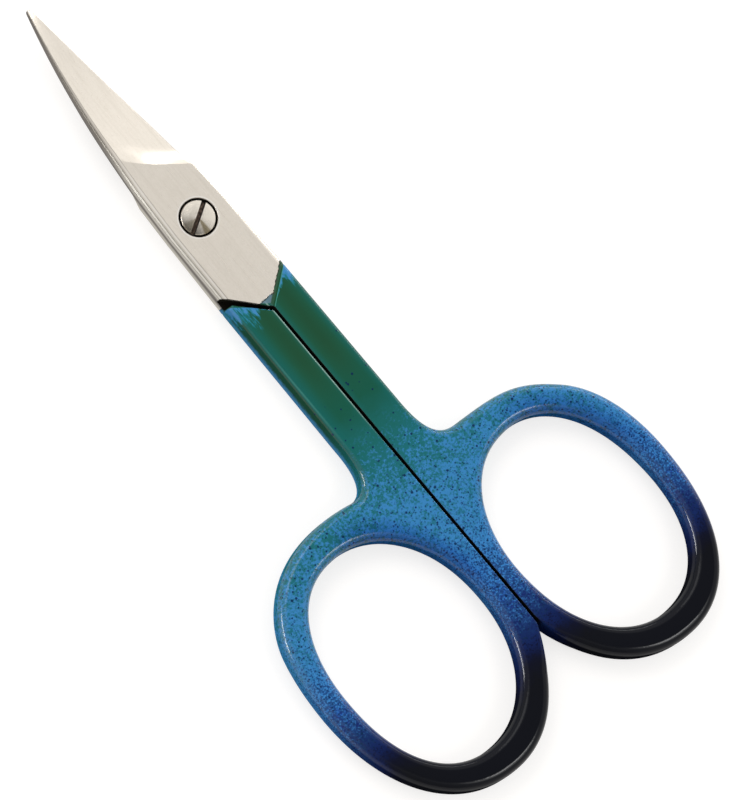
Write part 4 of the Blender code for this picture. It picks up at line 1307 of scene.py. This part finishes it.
def add_ramp(n, p, x, y, u, ring_side, steel_edge, colour):
    """The painted ramp at the foot of the steel face, with a painted highlight along its edge, and
    the flat end beside it.
    """
    past_foot = n.less(n.add(RAMP_FOOT, n.times(u, PAINT_SLOPE), n.wander(p, 3.0, 0.1)), y)
    # On the rear half the worn patch reaches right over the ramp
    left_end = -0.1 if ring_side > 0 else 0.1
    right_side = n.grow(x, left_end, left_end + 0.2)
    colour = n.lay(colour, RAMP_GREEN, n.grow(past_foot, 0.03, -0.03), right_side, 0.9)
    # A light line along the ramp's outer edge: a painted highlight
    line = n.times(n.around(past_foot, 0.03, 0.1), right_side, n.grow(u, *RAMP_LINE_SIDE))
    colour = n.lay(colour, RAMP_HIGHLIGHT, line, 0.8)
    beside = n.less(y, n.add(STEEL_FOOT, n.times(n.absolute(u), PAINT_SLOPE)))
    flat = n.times(n.grow(y, *FLAT_END_RUN), n.grow(u, *FLAT_END_SIDE))
    colour = n.lay(colour, FLAT_END, n.grow(beside, -0.05, 0.1), flat, 0.8)
    burnt = n.around(n.less(steel_edge, y), 0.05, 0.2)
    return n.lay(colour, BURNT_EDGE, burnt, n.grow(n.noise(p, 3, 3), 0.38, 0.5), 0.85)


def blade_lift(n, x, y):
    """How far the blades' curve raises a place."""
    start, end = MM * CURVE_START_RADIUS, MM * TIP_TOP_Y
    share = n.divide(n.larger(n.less(n.length(x, y), start), 0.0), end - start)
    return n.times(share, share, n.grow(y, 0, 1), MM * BLADE_RISE)


def steel_colour(n, p, x, y, z, up):
    """Ground steel, brushed along the scissors, with painted shade on its upright sides and bevel
    and painted highlights on a facet and round the recess.
    """
    bevel = n.node("ShaderNodeAttribute", attribute_name="bevel").outputs["Fac"]
    fine = n.noise(p, BRUSHED_SCALE, 3, 0.6)
    broad = n.noise(p, BROAD_SCALE, 3, 0.6)
    stain = n.noise(p, 0.45, 4, 0.6)
    grain = n.noise(p, STEEL_GRAIN_SCALE, 3, 0.7)
    colour = n.lay(STEEL, STEEL_DULL, n.grow(broad, 0.42, 0.8, 0, 0.45))
    colour = n.lay(colour, STEEL_DULL, n.grow(grain, 0.4, 0.7, 0, 0.3))
    colour = n.lay(colour, STEEL_DULL, n.grow(stain, 0.5, 0.85, 0, 0.4))
    dull = n.times(n.grow(fine, 0.56, 0.72), n.around(y, *DULL_STRETCH))
    colour = n.lay(colour, STEEL_DULL, dull, 0.5)
    # Painted highlight: a bright ring round the screw's recess
    colour = n.lay(colour, STEEL_HIGHLIGHT, n.around(n.length(x, y), *RECESS_HIGHLIGHT), 0.7)
    on_bevel = n.math("GREATER_THAN", bevel, 0.5)
    # Painted shade: the outer part of the spine's bevel darker than the face
    colour = n.lay(colour, STEEL_FACET_SHADE, n.grow(bevel, 1.4, 1.34), on_bevel)
    # Painted shade: the upright sides darker, standing in for the dark surroundings they mirror
    wall = n.grow(up, 0.6, 0.2)
    colour = n.lay(colour, STEEL_SIDE_SHADE, wall, n.grow(broad, 0.35, 0.65, 0.7, 1.0))
    # Painted shade: the upright sides darken towards the gap between the leaves, and the bevel
    # darkens along the blade
    height = n.less(z, MM * HALF_THICKNESS)
    near_gap = n.times(wall, n.add(n.around(height, 0, 0.7), n.around(height, 0, 1.0)), 0.85)
    colour = n.lay(colour, STEEL_SHADE_AND_LINES, n.math("MINIMUM", near_gap, 1.0))
    on_blade = n.times(on_bevel, n.grow(y, *BLADE_DARK_RUN), n.grow(bevel, 2.0, 1.0, 0.12, 0.9))
    colour = n.lay(colour, STEEL_SHADE_AND_LINES, on_blade)
    # Painted highlight: a bright facet on the bevel, along the joint and the blade's base
    place, reach, level = FACET_HIGHLIGHT
    facet_highlight = n.times(n.around(bevel, 1 + place, reach), n.grow(y, *GLEAM_RUN), level)
    colour = n.lay(colour, STEEL_HIGHLIGHT, facet_highlight)
    for place, reach, depth in SPINE_LINES:
        line = n.times(n.around(bevel, 1 + place, reach), n.grow(broad, 0.25, 0.6, 0.6, 1.0), depth)
        colour = n.lay(colour, STEEL_SHADE_AND_LINES, line)
    return colour, fine


def joint_shade_and_grime(n, x, y, z, u, up):
    """Near-black in the screw's recess, between the leaves and on the end of the lap: painted shade
    in these gaps, with old oil in the recess.
    """
    face = MM * (HALF_THICKNESS + JOINT_FACE)
    mating = MM * (HALF_THICKNESS + MATING_FACE)
    recess = MM * RECESS_RADIUS
    edge_break = MM * SCREW_EDGE_BREAK
    in_recess = n.times(
        n.grow(n.length(x, y), recess + 0.24, recess + 0.14),
        n.grow(z, face - edge_break * 0.8, face - edge_break),
        n.grow(z, mating, mating + 0.1),
    )
    gap = MM * MATING_GAP
    on_mating = n.grow(n.absolute(n.less(z, MM * HALF_THICKNESS)), gap + 0.02, gap)
    in_gap = n.times(on_mating, n.grow(n.absolute(up), 0.6, 0.9), n.grow(y, *GAP_SHADE_RUN))
    lap_end = n.times(n.grow(y, *LAP_SHADE_RUN), n.grow(u, *LAP_SHADE_SIDE))
    return n.larger(in_recess, in_gap, n.times(n.grow(up, 0.7, 0.4), lap_end))


def forged_material(name, ring, ring_side):
    """Ground steel that ends in speckled paint: one material for the whole of a half."""
    material, n = new_material(name)
    p = n.places()
    x, y, z = n.parts(p)
    up = n.facing((0, 0, 1))
    u = n.times(x, ring_side)
    slanted = n.add(STEEL_FOOT, n.times(u, PAINT_SLOPE))
    steel_edge = n.add(n.larger(PAINT_END, slanted), n.wander(p, 2.4, 0.5, 4))
    steel = n.grow(n.less(y, steel_edge), -0.015, 0.015)

    colour, along = shank_colour(n, p, x, y, up)
    colour, relief = add_grain(n, p, y, along, colour)
    colour = add_wall_mist(n, p, y, z, up, colour)
    colour = add_painted_shade(n, p, x, y, ring, ring_side, colour)
    colour = add_wear(n, p, x, y, ring_side, colour)
    colour = add_ramp(n, p, x, y, u, ring_side, steel_edge, colour)
    metal, brushed = steel_colour(n, p, x, y, n.less(z, blade_lift(n, x, y)), up)
    # Painted shade in the joint's gaps, with old oil in the recess
    shade_and_grime = joint_shade_and_grime(n, x, y, z, u, up)
    painted = n.rest(steel)

    satin = n.add(STEEL_ROUGHNESS, n.times(brushed, 0.1), n.grow(up, 0.97, 0.5, 0.0, 0.1))
    glossy = n.add(PAINT_ROUGHNESS, n.wander(p, 2.0, 0.07), n.grow(along, *BLACK_END_ROUGHNESS))
    roughness = n.add(n.times(steel, satin), n.times(painted, glossy))
    uneven = n.times(painted, n.add(n.wander(p, 1.4, 0.8), relief, 0.6))
    # No gloss on the level faces, which would mirror the lamps as blank white in low views
    sheen = n.less(n.grow(up, 0.15, 0.45, 0.0, 0.25), n.grow(up, 0.96, 0.995, 0.0, 0.25))
    # Painted highlights: more gloss on the two bands of the roundings that mirror the left strip
    # and near window lamps into the camera
    highlight_gloss = n.larger(*[n.grow(n.facing(towards(*way)), 0.98, 0.992) for way in HIGHLIGHT_WAYS])
    gloss = n.add(n.times(sheen, n.grow(along, *PAINT_GLOSS)), n.times(highlight_gloss, 0.45))
    dress(
        material,
        n,
        Base_Color=n.lay(n.lay(colour, metal, steel), SHADE_AND_GRIME, shade_and_grime),
        Metallic=n.times(steel, n.rest(shade_and_grime)),
        Roughness=n.larger(roughness, n.times(shade_and_grime, SHADE_AND_GRIME_ROUGHNESS)),
        Specular_IOR_Level=gloss,
        Normal=n.bump(n.add(uneven, n.times(steel, brushed, 0.07)), FORGED_RELIEF),
    )
    return material


def screw_material():
    """Turned steel with painted dark wedges of reflection, dirt in the slot and painted shade round
    the rim.
    """
    material, n = new_material("turned_steel")
    p = n.places()
    x, y, z = n.parts(p)
    radius = n.length(x, y)
    face = MM * (HALF_THICKNESS + JOINT_FACE)
    head = MM * SCREW_HEAD_RADIUS
    slot = MM * SLOT_WIDTH / 2
    turned = n.node("ShaderNodeTexNoise", noise_dimensions="1D")
    n.put(turned.inputs["W"], n.times(radius, TURNING_MARKS))
    marks = turned.outputs["Fac"]
    metal = n.lay(SCREW_STEEL, SCREW_MARK, n.grow(marks, 0.3, 0.7))
    angle = n.math("ARCTAN2", y, x)
    # Painted dark wedges standing in for the turned head's reflection
    for middle, reach, depth in REFLECTION_WEDGES:
        middle, reach = math.radians(middle), math.radians(reach)
        turned_by = n.math("PINGPONG", n.add(n.less(angle, middle), 2 * math.pi), math.pi)
        wedge = n.grow(turned_by, reach, reach / 3)
        metal = n.lay(metal, SCREW_WEDGE_SHADE, wedge, n.grow(radius, 0.1, 0.5), depth)
    deep = n.grow(z, *[face - depth for depth in SLOT_DIRT_DEPTHS])
    crumbs = n.noise(p, 5, 3, 0.7)
    dirt = n.lay(SLOT_DIRT, SLOT_CRUMBS, n.grow(crumbs, 0.42, 0.62))
    slot_side = (-math.sin(SLOT_ANGLE), math.cos(SLOT_ANGLE), 0)
    across = n.absolute(n.vector("DOT_PRODUCT", p, slot_side))
    dirt = n.lay(dirt, SHADE_AND_GRIME, n.grow(across, slot - 0.11, slot - 0.01))
    # Painted shade: near-black round the rim of the head, where it meets the recess
    rim = n.times(n.grow(radius, head - 0.06, head - 0.01), n.grow(z, face - 0.02, face - 0.06))
    tangent = n.node("ShaderNodeTangent", direction_type="RADIAL", axis="Z")
    dress(
        material,
        n,
        Base_Color=n.lay(n.lay(metal, dirt, deep), SHADE_AND_GRIME, rim),
        Metallic=n.rest(n.larger(rim, n.times(deep, 0.6))),
        Roughness=n.add(SCREW_ROUGHNESS, n.times(marks, 0.05), n.times(deep, 0.4)),
        Anisotropic=0.6,
        Tangent=tangent.outputs[0],
        Normal=n.bump(n.add(n.times(marks, 0.4), n.times(deep, crumbs)), SCREW_RELIEF),
    )
    return material


# Floor, light and camera

FLOOR_SIZE = 4.0
FLOOR_COLOUR = (0.42, 0.4, 0.38, 1)
FLOOR_ROUGHNESS = 0.9
FLOOR_GLOW = 0.7
# Name, azimuth and elevation in degrees, distance, width and height, and radiance
LAMPS = (
    ("key", (92, 52), 0.7, (0.42, 0.3), 3.0),
    ("left_strip", (146, 6), 0.6, (0.34, 0.07), 12.0),
    ("right_strip", (20, 12), 0.7, (0.9, 0.06), 9.0),
    ("near_window", (-68, 52), 0.6, (0.2, 0.14), 3.4),
)
WORLD_LEVEL = 0.9
DARKEST_LEVEL = 0.05
# Azimuth, elevation, the angles from them between which a change of level fades, and the change
WORLD_SPOTS = (
    (34, 38, 8, 34, 0.16),
    (0, 60, 5, 20, 0.14),
    (225, 80, 13, 29, -0.75),
    (215, 15, 20, 50, -0.6),
)


def floor_material():
    """White paper that glows a little, so that only the object's shadow shows on it."""
    material, n = new_material("floor_white")
    path = n.node("ShaderNodeLightPath").outputs
    seen = n.larger(path["Is Camera Ray"], path["Is Glossy Ray"], path["Is Transmission Ray"])
    dress(
        material,
        n,
        Base_Color=FLOOR_COLOUR,
        Roughness=FLOOR_ROUGHNESS,
        Specular_IOR_Level=0.0,
        Emission_Color=(1, 1, 1, 1),
        Emission_Strength=n.times(seen, FLOOR_GLOW),
    )
    return material


def add_floor():
    mesh = bmesh.new()
    bmesh.ops.create_grid(mesh, x_segments=1, y_segments=1, size=FLOOR_SIZE / 2)
    data = bpy.data.meshes.new("floor")
    mesh.to_mesh(data)
    mesh.free()
    data.materials.append(floor_material())
    floor = add_object("floor", data)


def towards(azimuth, elevation):
    """A direction from its angle round from +X and its angle over the floor, in degrees."""
    azimuth, elevation = math.radians(azimuth), math.radians(elevation)
    flat = math.cos(elevation)
    return Vector((flat * math.cos(azimuth), flat * math.sin(azimuth), math.sin(elevation)))


def add_lamps():
    """Rectangular lamps that shine on the scissors, as bright to look at as their radiance."""
    for name, way, distance, size, radiance in LAMPS:
        data = bpy.data.lights.new(name, "AREA")
        data.shape = "RECTANGLE"
        data.size, data.size_y = size
        data.energy = radiance * math.pi * size[0] * size[1]
        lamp = add_object(name, data)
        direction = towards(*way)
        lamp.location = direction * distance
        lamp.rotation_mode = "QUATERNION"
        lamp.rotation_quaternion = direction.to_track_quat("Z", "Y")


def add_world():
    """A grey studio: bright towards the picture's top, dark round and below the camera."""
    world = bpy.data.worlds.new("studio")
    world.use_nodes = True
    n = Nodes(world.node_tree)
    seen_way = n.node("ShaderNodeTexCoord").outputs["Generated"]
    level = WORLD_LEVEL
    for azimuth, elevation, inner, outer, change in WORLD_SPOTS:
        close = n.vector("DOT_PRODUCT", seen_way, towards(azimuth, elevation))
        limits = math.cos(math.radians(outer)), math.cos(math.radians(inner))
        level = n.add(level, n.grow(close, *limits, 0.0, change))
    background = world.node_tree.nodes["Background"]
    n.put(background.inputs["Color"], n.larger(level, DARKEST_LEVEL))
    bpy.context.scene.world = world


def image_axes():
    """The directions of the picture's right, its top, and back to the camera."""
    across = Vector((math.cos(VIEW_TILT), 0, math.sin(VIEW_TILT)))
    along = Vector((0, 1, 0))
    right = across * math.cos(VIEW_TURN) - along * math.sin(VIEW_TURN)
    top = across * math.sin(VIEW_TURN) + along * math.cos(VIEW_TURN)
    return right, top, right.cross(top)


def add_camera():
    right, top, back = image_axes()
    data = bpy.data.cameras.new("camera")
    data.sensor_width = SENSOR_SIZE
    data.lens = SENSOR_SIZE * CAMERA_DISTANCE / VIEW_HEIGHT
    data.clip_start, data.clip_end = CAMERA_REACH
    camera = add_object("camera", data)
    turn = Matrix((right, top, back)).transposed().to_4x4()
    centre = Vector((VIEW_CENTRE_X, VIEW_CENTRE_Y, SHANK_THICKNESS))
    camera.matrix_world = Matrix.Translation(centre + back * CAMERA_DISTANCE) @ turn
    bpy.context.scene.camera = camera


def add_halves():
    halves = (
        ("upper_half", "front_half", FRONT_RING, front_bore_edge(), 1, "front"),
        ("lower_half", "rear_half", REAR_RING, JOINT_EDGE, -1, "rear"),
    )
    for name, node, ring, bore_edge, ring_side, body in halves:
        finish = forged_material(name + "_finish", ring, ring_side)
        piece = add_half(name, ring, bore_edge, ring_side < 0, finish)
        seat_in(piece, node)
        keep_flats_flat(piece)
        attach(piece, body)
        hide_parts(node)


def add_pivot_screw():
    screw = add_screw(screw_material())
    seat_in(screw, "pivot_screw")
    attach(screw, "rear")
    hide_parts("pivot_screw")


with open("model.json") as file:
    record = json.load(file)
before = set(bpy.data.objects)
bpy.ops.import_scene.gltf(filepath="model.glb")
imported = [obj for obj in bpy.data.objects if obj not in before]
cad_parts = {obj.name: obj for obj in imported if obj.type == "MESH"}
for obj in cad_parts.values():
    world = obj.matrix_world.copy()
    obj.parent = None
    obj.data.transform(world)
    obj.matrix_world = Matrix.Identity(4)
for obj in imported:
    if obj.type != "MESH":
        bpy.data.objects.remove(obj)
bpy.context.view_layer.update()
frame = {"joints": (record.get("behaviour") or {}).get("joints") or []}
PIVOT = Vector(frame["joints"][0]["pos_m"])
bpy.context.scene.view_settings.view_transform = "Standard"
add_halves()
add_pivot_screw()
add_floor()
add_world()
add_lamps()
add_camera()
